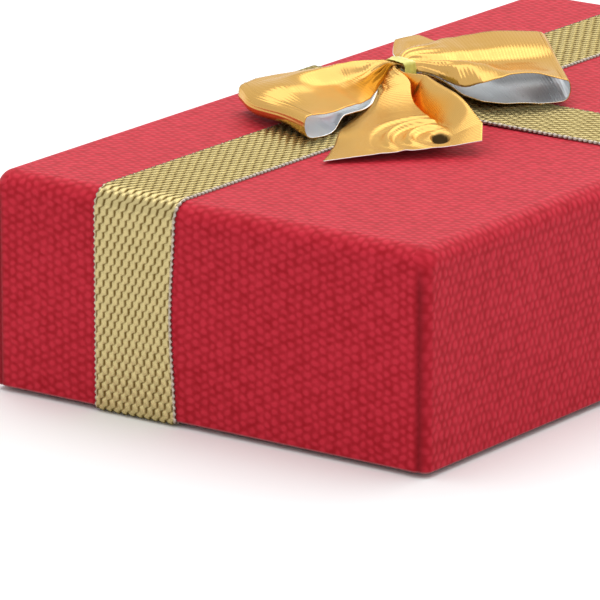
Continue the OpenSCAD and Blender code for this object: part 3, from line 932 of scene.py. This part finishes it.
LEFT_CREST = (
    (1.0, 0.72, 0.48, 0.12, -0.15, -0.5, -0.8, -1.0),
    (1.2, 4.5, 4.75, 4.8, 4.8, 4.8, 4.8, 4.8, 4.75),
    (2.5, 4.8, 5.0, 5.2, 5.15, 5.05, 4.95, 4.9, 4.85),
    (4.0, 4.85, 5.15, 5.35, 5.1, 4.8, 4.4, 4.0, 3.6),
    (6.0, 4.8, 5.15, 5.45, 4.3, 4.1, 3.9, 3.4, 3.0),
    (8.0, 4.65, 5.1, 5.4, 3.95, 3.7, 3.45, 3.05, 2.7),
    (10.0, 4.45, 4.9, 5.2, 3.85, 3.45, 3.15, 2.8, 2.5),
    (12.0, 4.3, 4.75, 5.05, 3.75, 3.45, 3.2, 2.95, 2.7),
    (14.0, 4.15, 4.55, 4.9, 3.95, 3.5, 3.25, 3.05, 2.9),
    (16.0, 3.95, 4.25, 4.65, 4.4, 3.75, 3.3, 3.1, 2.95),
    (18.0, 3.7, 4.0, 4.35, 4.55, 3.95, 3.4, 3.2, 3.2),
    (19.6, 3.45, 3.7, 3.8, 3.85, 3.5, 3.35, 3.3, 3.35),
    (20.9, 3.2, 3.2, 3.0, 2.95, 3.0, 3.2, 3.3, 3.3),
)
# front tail: distance from the knot, then the heights of its left edge, crease, valley and right
# edge, and the crease's place across
TAIL_SHAPE = (
    (1.2, 4.15, 4.65, 4.2, 4.5, -0.35),
    (2.5, 3.7, 4.8, 4.0, 4.4, -0.5),
    (4.0, 2.7, 4.5, 2.9, 4.4, -0.55),
    (6.0, 1.9, 3.6, 1.7, 4.5, -0.38),
    (8.0, 1.5, 2.8, 1.2, 4.5, -0.32),
    (10.0, 1.2, 2.3, 1.0, 4.5, -0.33),
    (13.0, 1.05, 2.0, 0.95, 4.55, -0.4),
    (16.0, 1.0, 1.95, 1.0, 4.6, -0.46),
    (19.0, 0.95, 2.0, 1.3, 4.3, -0.5),
    (22.0, 0.6, 1.9, 1.7, 3.6, -0.52),
    (25.0, 0.4, 1.65, 1.6, 2.9, -0.5),
    (29.6, 0.4, 1.3, 1.4, 1.8, -0.5),
)
RIPPLE_MIDDLE = (18.0, -17.5)
FOLD_RADIUS = 1.55  # of the round folds at the loops' ends
CROWN = 4.3  # height of the loops' upper layer before its folds
LOOP_COLUMNS, TAIL_COLUMNS = 48, 80  # mesh columns across the foil


def through(x, at, values):
    """Smooth line through values"""
    at, values = np.asarray(at, float), np.asarray(values, float)
    slope = np.gradient(values, at)
    i = np.clip(np.searchsorted(at, x, side="right") - 1, 0, len(at) - 2)
    h = at[i + 1] - at[i]
    s = np.clip((x - at[i]) / h, 0, 1)
    return (
        (2 * s**3 - 3 * s**2 + 1) * values[i]
        + (s**3 - 2 * s**2 + s) * h * slope[i]
        + (3 * s**2 - 2 * s**3) * values[i + 1]
        + (s**3 - s**2) * h * slope[i + 1]
    )


def net(table, t, v):
    """Smooth surface through a table of heights, for distances t and places v across"""
    order = np.argsort(table[0])
    across = np.array(table[0])[order]
    body = np.array([row[1:] for row in table[1:]])[:, order]
    steps = [row[0] for row in table[1:]]
    lines = np.array([through(v, across, row) for row in body])
    return np.stack([through(t, steps, column) for column in lines.T], 1)


def foil_shell(name, points, normal, depth, flat, values, materials):
    """Both sides of a strip of foil and the rims between them. The second side faces the way that
    the normals point"""
    facing = np.cross(np.gradient(points, axis=0), np.gradient(points, axis=1))
    facing /= np.linalg.norm(facing, axis=2)[..., None] + 1e-12
    same = np.sign((facing * normal[:, None, :]).sum(2).mean())
    origin = np.array([(LONG_LOW.x + LONG_HIGH.x) / 2, (CROSS_LOW.y + CROSS_HIGH.y) / 2, LID_TOP])
    sides = [
        (origin + (points + k * same * facing * depth / 2) * MM).reshape(-1, 3) for k in (-1, 1)
    ]
    rows, columns = points.shape[:2]
    count = rows * columns
    first = grid_quads(rows, columns)
    left, near_end = np.arange(rows) * columns, np.arange(columns)
    faces = [first, (first + count)[:, ::-1]]
    rims = ((left, 1), (left + columns - 1, -1), (near_end, -1), (left[-1] + near_end, 1))
    for a, way in rims:
        faces.append(np.stack([a[:-1], a[1:], a[1:] + count, a[:-1] + count], 1)[:, ::way])
    faces = np.vstack(faces)[:, :: int(same)]
    slots = np.repeat([0, 1, 0], [len(first), len(first), len(faces) - 2 * len(first)])
    flat = np.vstack([flat, flat])
    return make_piece(name, np.vstack(sides), faces, materials, flat, values, slots)


def foil_strip(name, path, ahead, behind, folds, marks, s, materials, columns):
    """A strip of foil along a path of (distance from the knot, height) points.
    folds gives how far each place is raised over the plain strip, and marks the numbers that the
    finish reads on the strip's first and second side"""
    line, at = evenly(path, s.rib / MM / 5)
    t, z = line.T
    along, rise = headings(line).T
    reach = np.abs(t)

    def of_arm(key):
        return np.where(t >= 0, ahead[key], behind[key])

    share = reach / of_arm("length")
    opened = np.clip((reach - PINCH) / (of_arm("opens") - PINCH), 0, 1)
    half = (GATHERED + (of_arm("width") * s.width / (20 * MM) - GATHERED) * opened) / 2
    swung = (of_arm("direction") - TIE_DIRECTION) * ease((reach - PINCH) / 5.0)
    heading = np.radians(TIE_DIRECTION + swung)
    across = heading + np.radians(90 + of_arm("turn") * share)
    v = np.linspace(-1, 1, columns)
    onward = np.stack([np.cos(heading), np.sin(heading)], 1)
    normal = np.column_stack([-rise[:, None] * onward, along])
    centre = np.column_stack([t[:, None] * onward, z])
    side = np.column_stack([half * np.cos(across), half * np.sin(across), np.zeros(len(t))])
    drawn = (of_arm("drawn") * bell(share, 0.83, 0.17))[:, None] * ease(v)
    tucked = of_arm("tucked") * ease(reach, 0.0, 1.2) * (1 - ease(reach, 2.0, 9.0))
    place = v * (1 - drawn) * (1 - tucked[:, None] * (v < 0))
    points = centre[:, None, :] + place[..., None] * side[:, None, :]
    bulge = of_arm("bulge") * np.sign(t) * ease(share, 0.7, 1.0)
    points[..., :2] += (bulge[:, None] * bell(v, 0.35, 0.55))[..., None] * onward[:, None, :]
    points[..., 2] += folds(t, v, along, z, points)
    values = {
        key: np.concatenate([m.ravel() for m in mark(t, v, along, points)])
        for key, mark in marks.items()
    }
    rib = s.rib_height / MM * np.cos(2 * np.pi * at * MM / s.rib) * ease(reach, 1.5, 4.0)
    points += rib[:, None, None] * normal[:, None, :]
    points[..., :2] += KNOT
    flat = np.stack(np.meshgrid(v * s.width / 2, at * MM), -1).reshape(-1, 2)
    piece = foil_shell(name, points, normal, s.thickness / MM, flat, values, materials)
    return piece, at[-1] * MM


def loop_side(length):
    """Half of the loops' outline, from the end under the knot round the fold to the knot's top"""
    line = [(0.3, LOW_LAYER), (PINCH, LOW_LAYER), (PINCH + 1, LOW_LAYER)]
    line += [(6, LOW_LAYER + (REST - LOW_LAYER) * 0.6), (0.5 * length, REST), (0.75 * length, REST)]
    for a in np.radians(range(-90, 91, 30)):
        back = 1 - math.cos(a) * (1 - 0.3 * math.sin(a))
        line.append((length - FOLD_RADIUS * back, REST + FOLD_RADIUS * (1 + math.sin(a))))
    line += [(0.75 * length, CROWN), (0.45 * length, CROWN)]
    line += [(4.5, TOP_LAYER), (PINCH + 1, TOP_LAYER), (PINCH, TOP_LAYER)]
    return line


def gathers(reach, v, count, phase, height, fades):
    """Small pleats that fan out from the tie and die out along the arm"""
    swell = 0.45 + 0.55 * ease(reach, 0.8, 3.0)
    return height * swell * (1 - ease(reach, 3.0, fades)) * np.cos(count * np.pi * v + phase)


def loop_folds(t, v, onward, z, points):
    """Folds of the two loops: the strip runs one way below and back above"""
    r, w, right = np.abs(t)[:, None], v[None, :], (t >= 0)[:, None]
    upper = ease(-onward, 0.0, 0.9)[:, None]
    lower = ease(onward, 0.2, 0.9)[:, None]
    crest = np.where(right, net(RIGHT_CREST, np.abs(t), v), net(LEFT_CREST, np.abs(t), v))
    rise = (crest - z[:, None]) * upper
    pleats = gathers(r, w, 7.0, 0.6, 0.10, 9.0) + gathers(r, w, 12.0, 1.9, 0.06, 6.0)
    fine = 0.03 * np.sin(r * 2.9 + 2.0 * np.sin(w * 2.1)) * bell(r, 9.0, 4.0)
    sag = 0.25 * bell(r, 9.0, 3.0) - 0.45 * ease(r, 13, 17)
    sagging = 0.8 * sag * ease(-w, 0.2, 1.0) * ease(r, 5, 9)
    pinched = np.maximum(crest - 0.95 - z[:, None], 0) * ease(-w, 0.35, 0.9)
    pinched *= ease(r, 3, 6) * (1 - ease(r, 14.2, 16.2))
    rounded = 0.5 * ease(r, 15, 17) * ease(-w, 0.3, 0.9)
    low = np.where(right, sagging, pinched - rounded)
    return rise + (pleats + fine * upper) * np.maximum(upper, 0.6 * lower) + low * lower


def from_ripples(points):
    """Places from the middle of the tail's ripples, and how far each is on along the tail"""
    dx, dy = points[..., 0] - RIPPLE_MIDDLE[0], points[..., 1] - RIPPLE_MIDDLE[1]
    return dx, dy, 0.83 * dx + 0.56 * dy


def dent_at(points):
    """How far from the middle of the tail's long dent a place is"""
    dx, dy, on = from_ripples(points)
    return np.hypot(on / 1.15, (0.56 * dx - 0.83 * dy) / 2.05)


def tail_lines(reach):
    """The front tail's left edge, crease, valley and right edge, and the crease's place"""
    steps, *columns = zip(*TAIL_SHAPE)
    return [through(reach, steps, column)[:, None] for column in columns]


def tail_folds(t, v, onward, z, points):
    """Folds of the two tails"""
    r, w = np.abs(t)[:, None], v[None, :]
    left, crease, valley, right, place = tail_lines(np.abs(t))
    drop = 0.06 + 0.10 * ease(r, 3, 18)
    to_left = np.clip((1 - w) / (1 - place), 0, 1)
    power = 3.2 - 1.9 * ease(r, 5, 14) - 2.1 * (1 - ease(r, 3.5, 7.5))
    panel = left + (crease - left) * (1 - (1 - to_left) ** power)
    to_right = np.clip((place - drop - w) / (place - drop + 1), 0, 1)
    facet = valley + (right - valley) * (1 - (1 - to_right) ** (1.7 - 0.5 * ease(r, 14, 22)))
    fold = valley + (crease - valley) * ease((w - place + drop) / drop)
    height = np.where(w > place, panel, np.where(w > place - drop, fold, facet))
    dx, dy, on = from_ripples(points)
    away = np.hypot(dx, dy)
    turns = 2 * np.pi * (away - 1.1) / 2.65
    waves = (0.34 * np.cos(turns) + 0.11 * np.cos(2 * turns)) * bell(away, 5.2, 3.8)
    waves *= ease(-on / (away + 0.01), -0.1, 0.5) * (1 - ease(w, 0.3, 0.6))
    waves *= ease(r, 13, 16) * (1 - 0.8 * ease(r, 26.5, 29.0))
    pit = -0.9 * np.exp(-((dent_at(points) / 0.95) ** 4))
    beside = 0.25 + 0.75 * ease(np.abs(w - place - 0.35), 0.35, 0.6)
    beside *= 0.35 + 0.65 * ease(w, place - 0.05, place + 0.05)
    beside *= (1 - 0.85 * bell(w, place - 0.14, 0.16)) * (1 - 0.75 * bell(w, 0.1, 0.7))
    pleats = gathers(r, w, 6.0, 0.4, 0.12, 10.0) + gathers(r, w, 13.0, 1.0, 0.07, 8.0)
    front = (height - z[:, None]) * ease(r, 0.6, 1.6) + waves + pit + pleats * beside
    back = 0.5 * ease(w, 0.0, 1.0) * ease(r, 5, 14)
    back = back + gathers(r, w, 7.0, 1.0, 0.3, 15.0) + gathers(r, w, 13.0, 0.3, 0.12, 11.0)
    return np.where((t < 0)[:, None], front, back)


def loop_painted_reflection_and_shade(t, v, onward, points):
    """Painted reflection and shade on the loops: orange painted reflection on the left one's near
    fold outside, dark painted shade deep inside the right one
    """
    r, w, right = np.abs(t)[:, None], v[None, :], (t >= 0)[:, None]
    upper = ease(-onward, 0.0, 0.9)[:, None]
    fold = ease(-w, 0.05, 0.4) * ease(r, 1.4, 2.6) * (1 - ease(r, 6.5, 12.5)) * upper
    hollow_shade = ease(w, -0.3, 0.15) * ease(r, 10.5, 13.5)
    return np.where(right, 0.0, fold), np.where(right, 0.92 * hollow_shade, 0.0)


def loop_fold_painted_shade(t, v, onward, points):
    """Painted shade on the left loop's near fold, where it faces other foil"""
    fold, _ = loop_painted_reflection_and_shade(t, v, onward, points)
    return 0.55 * fold, np.zeros_like(fold)


def tail_painted_reflection(t, v, onward, points):
    """Painted reflection on the front tail: orange in the valley right of its crease"""
    r, beyond = np.abs(t)[:, None], tail_lines(np.abs(t))[4] - v[None, :]
    valley = ease(beyond, 0.0, 0.06) * (1 - ease(beyond, 0.22, 0.5))
    valley = valley * ease(r, 1.2, 2.5) * (1 - ease(r, 14.0, 20.0)) * (t < 0)[:, None]
    return np.zeros_like(valley), 0.72 * valley


def tail_dent_painted_shadow(t, v, onward, points):
    """The small dent in the front tail, painted dark as its own shadow"""
    away = dent_at(points)
    return np.zeros_like(away), 1 - ease(away, 0.86, 1.16)


class GIFTBOX_OT_bow(bpy.types.Operator):
    """Fold the foil ribbon into its two loops and two tails"""

    bl_idname = "giftbox.bow"
    bl_label = "Foil bow"

    def execute(self, context):
        s = context.scene.gift_box_bow
        warm = [share * c for share, c in zip((0.95, 0.90, 0.8), s.colour)]
        cool = [0.95 * c for c in s.back_colour]
        tint = (1.0, 0.85, 0.6, 1.0)
        # deep colours: orange painted reflection of gold in gold on the gold side, dark painted
        # shade on the silver side
        gold = foil("gold_foil_face", s.colour, warm, (0.80, 0.30, 0.008), 0.15, Specular_Tint=tint)
        silver = foil("silver_foil_back", s.back_colour, cool, (0.10, 0.105, 0.115), 0.24)
        self.loops(s, [gold, silver])
        self.tails(s, [silver, gold])
        return {"FINISHED"}

    def loops(self, s, materials):
        right, left = (loop_side(side["length"]) for side in (RIGHT, LEFT))
        path = spline(right + [(0, TOP_LAYER)] + [(-t, z) for t, z in left[::-1]], 12)
        # deep: painted reflection on the left loop's fold and painted shade inside the right loop;
        # dent: painted shade on the left loop's fold
        marks = {"deep": loop_painted_reflection_and_shade, "dent": loop_fold_painted_shade}
        piece, length = foil_strip(
            "bow_foil_loops", path, RIGHT, LEFT, loop_folds, marks, s, materials, LOOP_COLUMNS
        )
        place_piece(piece, "lid", "bow_loops")

    def tails(self, s, materials):
        rest, end = REST + 0.1, FRONT["length"]
        path = [(-end, rest), (-0.8 * end, rest), (-0.55 * end, rest + 0.35)]
        path += [(-0.25 * end, rest + 1.85), (-PINCH - 1, TAIL_LAYER), (-PINCH, TAIL_LAYER)]
        path += [(0, TAIL_LAYER), (PINCH, TAIL_LAYER), (5.0, TAIL_LAYER)]
        path += [(10.0, TAIL_LAYER - 0.6), (BACK["length"], TAIL_LAYER - 1.2)]
        # deep: painted reflection in the front tail's valley; dent: painted shadow in its small
        # dent
        path, marks = spline(path, 14), {"deep": tail_painted_reflection, "dent": tail_dent_painted_shadow}
        piece, length = foil_strip(
            "bow_foil_tails", path, BACK, FRONT, tail_folds, marks, s, materials, TAIL_COLUMNS
        )
        place_piece(piece, "lid", "bow_tails")


class GIFTBOX_OT_tie(bpy.types.Operator):
    """Close the twist tie round the gathered foil and set the bow on its glue pad"""

    bl_idname = "giftbox.tie"
    bl_label = "Twist tie and glue pad"

    def execute(self, context):
        self.tie(context.scene.gift_box_bow)
        self.pad()
        dress(steel_wire(), "bow_tie_wire")
        return {"FINISHED"}

    def tie(self, s):
        low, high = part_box("bow_tie")
        half_u, half_w, r = 1.85 * MM, (high.z - low.z) / 2, 0.6 * MM
        thick, width = 0.45 * MM, 2.0 * MM
        u, w = half_u - r, half_w - r
        ring = [(-0.4 * MM, -half_w), (-u, -half_w)]
        ring += arc(-u, -w, r, 270, 180, 6)[1:]
        for x, z, start in ((-u, w, 180), (u, w, 90), (u, -w, 0)):
            ring += arc(x, z, r, start, start - 90, 6)
        line, at = evenly(ring + [(0.4 * MM, -half_w)], 0.12 * MM)
        along = headings(line)
        outward = np.stack([-along[:, 1], along[:, 0]], 1)
        around = np.radians(np.linspace(0, 360, 25)[:-1])
        wide = np.sign(np.cos(around)) * np.abs(np.cos(around)) ** 0.6 * width / 2
        deep = np.sign(np.sin(around)) * np.abs(np.sin(around)) ** 0.8
        deep = (deep * (0.35 + 0.65 * bell(wide, 0, 0.3 * MM)) - 1) * thick / 2
        crimp = 1 + 0.05 * np.sin(at / MM * 7.0)[:, None]
        twist = 0.12 * MM * np.sin(at / MM * 1.6)[:, None]
        section = line[:, None, :] + outward[:, None, :] * deep[None, :, None]
        sideways = (wide * crimp + twist)[..., None]
        a = math.radians(TIE_DIRECTION - 90)
        u_axis = np.array([math.cos(a), math.sin(a), 0.0])
        w_axis = np.array([-math.sin(a), math.cos(a), 0.0])
        points = np.array((low + high) / 2) + section[..., :1] * u_axis + sideways * w_axis
        points[..., 2] += section[..., 1]
        rows, columns = len(line), len(around)
        faces = grid_quads(rows, columns, closed=True).tolist()
        faces += [list(range(columns))[::-1], list(range((rows - 1) * columns, rows * columns))]
        dark, light = rgba(s.tie_colour, 0.7), rgba(s.tie_colour, 1.25)
        look = {"Roughness": 0.32, "Coat_Weight": 0.25, "Coat_Roughness": 0.2}
        film = cloudy("tie_film", dark, light, 1500.0, 0.06, **look)
        piece = make_piece("bow_twist_tie", points.reshape(-1, 3), faces, [film])
        place_piece(piece, "lid", "bow_tie")

    def pad(self):
        middle = (PAD_LOW + PAD_HIGH) / 2
        radius, height = (PAD_HIGH.x - PAD_LOW.x) / 2, PAD_HIGH.z - PAD_LOW.z
        # the drop's outline from its top to its foot, in shares of its radius and height
        out = np.array([0.0, 0.45, 0.8, 0.94, 1.0, 0.985, 0.95, 0.5, 0.0])[:, None]
        up = np.array([1.0, 1.0, 0.97, 0.8, 0.45, 0.12, 0.0, 0.0, 0.0])[:, None]
        around = np.linspace(0, 2 * np.pi, 41)[:-1]
        uneven = 1 - 0.05 * (1 + np.sin(3 * around + 0.7) * 0.6 + np.sin(5 * around) * 0.4)
        reach = radius * out * uneven
        x, y = middle.x + reach * np.cos(around), middle.y + reach * np.sin(around)
        points = np.stack([x, y, PAD_LOW.z + height * up + 0 * x], -1).reshape(-1, 3)
        faces = grid_quads(*reach.shape, closed=True)[:, ::-1]
        dull, clear = (0.55, 0.53, 0.45, 1.0), (0.80, 0.79, 0.72, 1.0)
        look = {"Roughness": 0.35, "Specular_IOR_Level": 0.5}
        glue = cloudy("set_glue", dull, clear, 900.0, 0.05, **look)
        piece = make_piece("bow_glue_pad", points, faces, [glue])
        weld(piece, 0.001 * MM)
        place_piece(piece, "lid", "bow_pad")


# ---- stage ---------------------------------------------------------------------------------

LIGHT_AIM = Vector((0, 0, 0.02))
SOFT_BOXES = (
    ("key_light", (-0.14, 0.26, 0.87), (1.3, 1.0), "key_power"),
    ("back_light", (-0.12, 0.86, 0.62), (0.55, 0.4), "back_power"),
    ("fill_light", (0.6, -0.9, 0.5), (0.8, 0.8), "fill_power"),
)
CAMERA_PLACE = Vector((447.944, -659.293, 228.388)) * MM
CAMERA_AIM = Vector((7.65, -49.55, 13.85)) * MM
LENS_AXIS = (0.000314, 0.002234)  # how far the lens points right and up of the aim


def seen_rays(add, link):
    """1 for rays that the camera sends straight, by a mirror or through glass"""
    rays = add("LightPath").outputs
    seen = rays["Is Camera Ray"]
    for ray in ("Is Glossy Ray", "Is Transmission Ray"):
        either = add("Math")
        either.operation = "MAXIMUM"
        link(seen, either.inputs[0])
        link(rays[ray], either.inputs[1])
        seen = either.outputs[0]
    return seen


def axes(back):
    """Right, up and back of a level camera"""
    right = Vector((0, 0, 1)).cross(back).normalized()
    return right, back.cross(right), back


class GIFTBOX_OT_stage(bpy.types.Operator):
    """Set the pale floor, the soft light and the camera"""

    bl_idname = "giftbox.stage"
    bl_label = "Stage"

    def execute(self, context):
        s = context.scene.gift_box_stage
        self.floor()
        self.world(context.scene, s)
        for name, place, size, power in SOFT_BOXES:
            self.soft_box(name, Vector(place), size, getattr(s, power))
        self.camera(context.scene, s)
        context.scene.view_settings.view_transform = "Standard"
        return {"FINISHED"}

    def soft_box(self, name, place, size, power):
        light = bpy.data.lights.new(name, "AREA")
        light.shape, light.size, light.size_y, light.energy = "RECTANGLE", *size, power
        lamp = bpy.data.objects.new(name, light)
        lamp.location = place
        lamp.rotation_mode = "QUATERNION"
        lamp.rotation_quaternion = (LIGHT_AIM - place).to_track_quat("-Z", "Y")
        bpy.context.scene.collection.objects.link(lamp)

    def floor(self):
        f = Finish("pale_floor", Roughness=0.9, Specular_IOR_Level=0.0)
        seen = seen_rays(f.add, f.tree.links.new)
        cloud = f.noise(f.place(), 3.0, 2.0)
        pale = f.between(cloud, (0.60, 0.60, 0.60, 1.0), (0.64, 0.64, 0.64, 1.0))
        tone = f.between(seen, pale, (0.97, 0.97, 0.97, 1.0))
        f.finish(Base_Color=tone)
        size, steps = 2.5, 21
        x, y = np.meshgrid(np.linspace(-size, size, steps), np.linspace(-size, size, steps))
        points = np.stack([x, y, np.zeros_like(x)], -1).reshape(-1, 3)
        floor = make_piece("floor", points, grid_quads(steps, steps), [f.material])

    def world(self, scene, s):
        world = bpy.data.worlds.new("room")
        world.use_nodes = True
        tree = world.node_tree
        tree.nodes.clear()
        link = tree.links.new

        def add(kind):
            return tree.nodes.new("ShaderNode" + kind)

        out, seen, mix = add("OutputWorld"), seen_rays(add, link), add("MixShader")
        for k, strength in enumerate((s.room_light, 1.0)):
            shell = add("Background")
            shell.inputs["Color"].default_value = (1, 1, 1, 1)
            shell.inputs["Strength"].default_value = strength
            link(shell.outputs[0], mix.inputs[1 + k])
        link(seen, mix.inputs[0])
        link(mix.outputs[0], out.inputs[0])
        scene.world = world

    def camera(self, scene, s):
        data = bpy.data.cameras.new("camera")
        data.lens, data.sensor_width = s.lens, 36.0
        data.clip_start, data.clip_end = 0.01, 20.0
        right, up, back = axes((CAMERA_PLACE - CAMERA_AIM).normalized())
        turned = axes((back - right * LENS_AXIS[0] - up * LENS_AXIS[1]).normalized())
        camera = bpy.data.objects.new("camera", data)
        turn = Matrix(turned).transposed().to_4x4()
        camera.matrix_world = Matrix.Translation(CAMERA_PLACE) @ turn
        scene.collection.objects.link(camera)
        scene.camera = camera


# ---- panel and run -------------------------------------------------------------------------

OPERATORS = (
    GIFTBOX_OT_stage,
    GIFTBOX_OT_papers,
    GIFTBOX_OT_boards,
    GIFTBOX_OT_insert,
    GIFTBOX_OT_bands,
    GIFTBOX_OT_bow,
    GIFTBOX_OT_tie,
)


class GIFTBOX_PT_panel(bpy.types.Panel):
    """Sizes, colours and build steps of the gift box"""

    bl_idname = "GIFTBOX_PT_panel"
    bl_label = "Gift Box"
    bl_space_type = "VIEW_3D"
    bl_region_type = "UI"
    bl_category = "Gift Box"

    def draw(self, context):
        for operator in OPERATORS:
            self.layout.operator(operator.bl_idname)
        for name, group in SETTINGS.items():
            box = self.layout.box()
            box.label(text=group.__doc__)
            for key in group.__annotations__:
                box.prop(getattr(context.scene, name), key)


def register():
    for name, group in SETTINGS.items():
        bpy.utils.register_class(group)
        setattr(bpy.types.Scene, name, bpy.props.PointerProperty(type=group))
    for operator in OPERATORS:
        bpy.utils.register_class(operator)
    bpy.utils.register_class(GIFTBOX_PT_panel)


def unregister():
    bpy.utils.unregister_class(GIFTBOX_PT_panel)
    for operator in reversed(OPERATORS):
        bpy.utils.unregister_class(operator)
    for name, group in SETTINGS.items():
        delattr(bpy.types.Scene, name)
        bpy.utils.unregister_class(group)


def main():
    register()
    for operator in OPERATORS:
        group, step = operator.bl_idname.split(".")
        getattr(getattr(bpy.ops, group), step)()


if __name__ == "__main__":
    main()
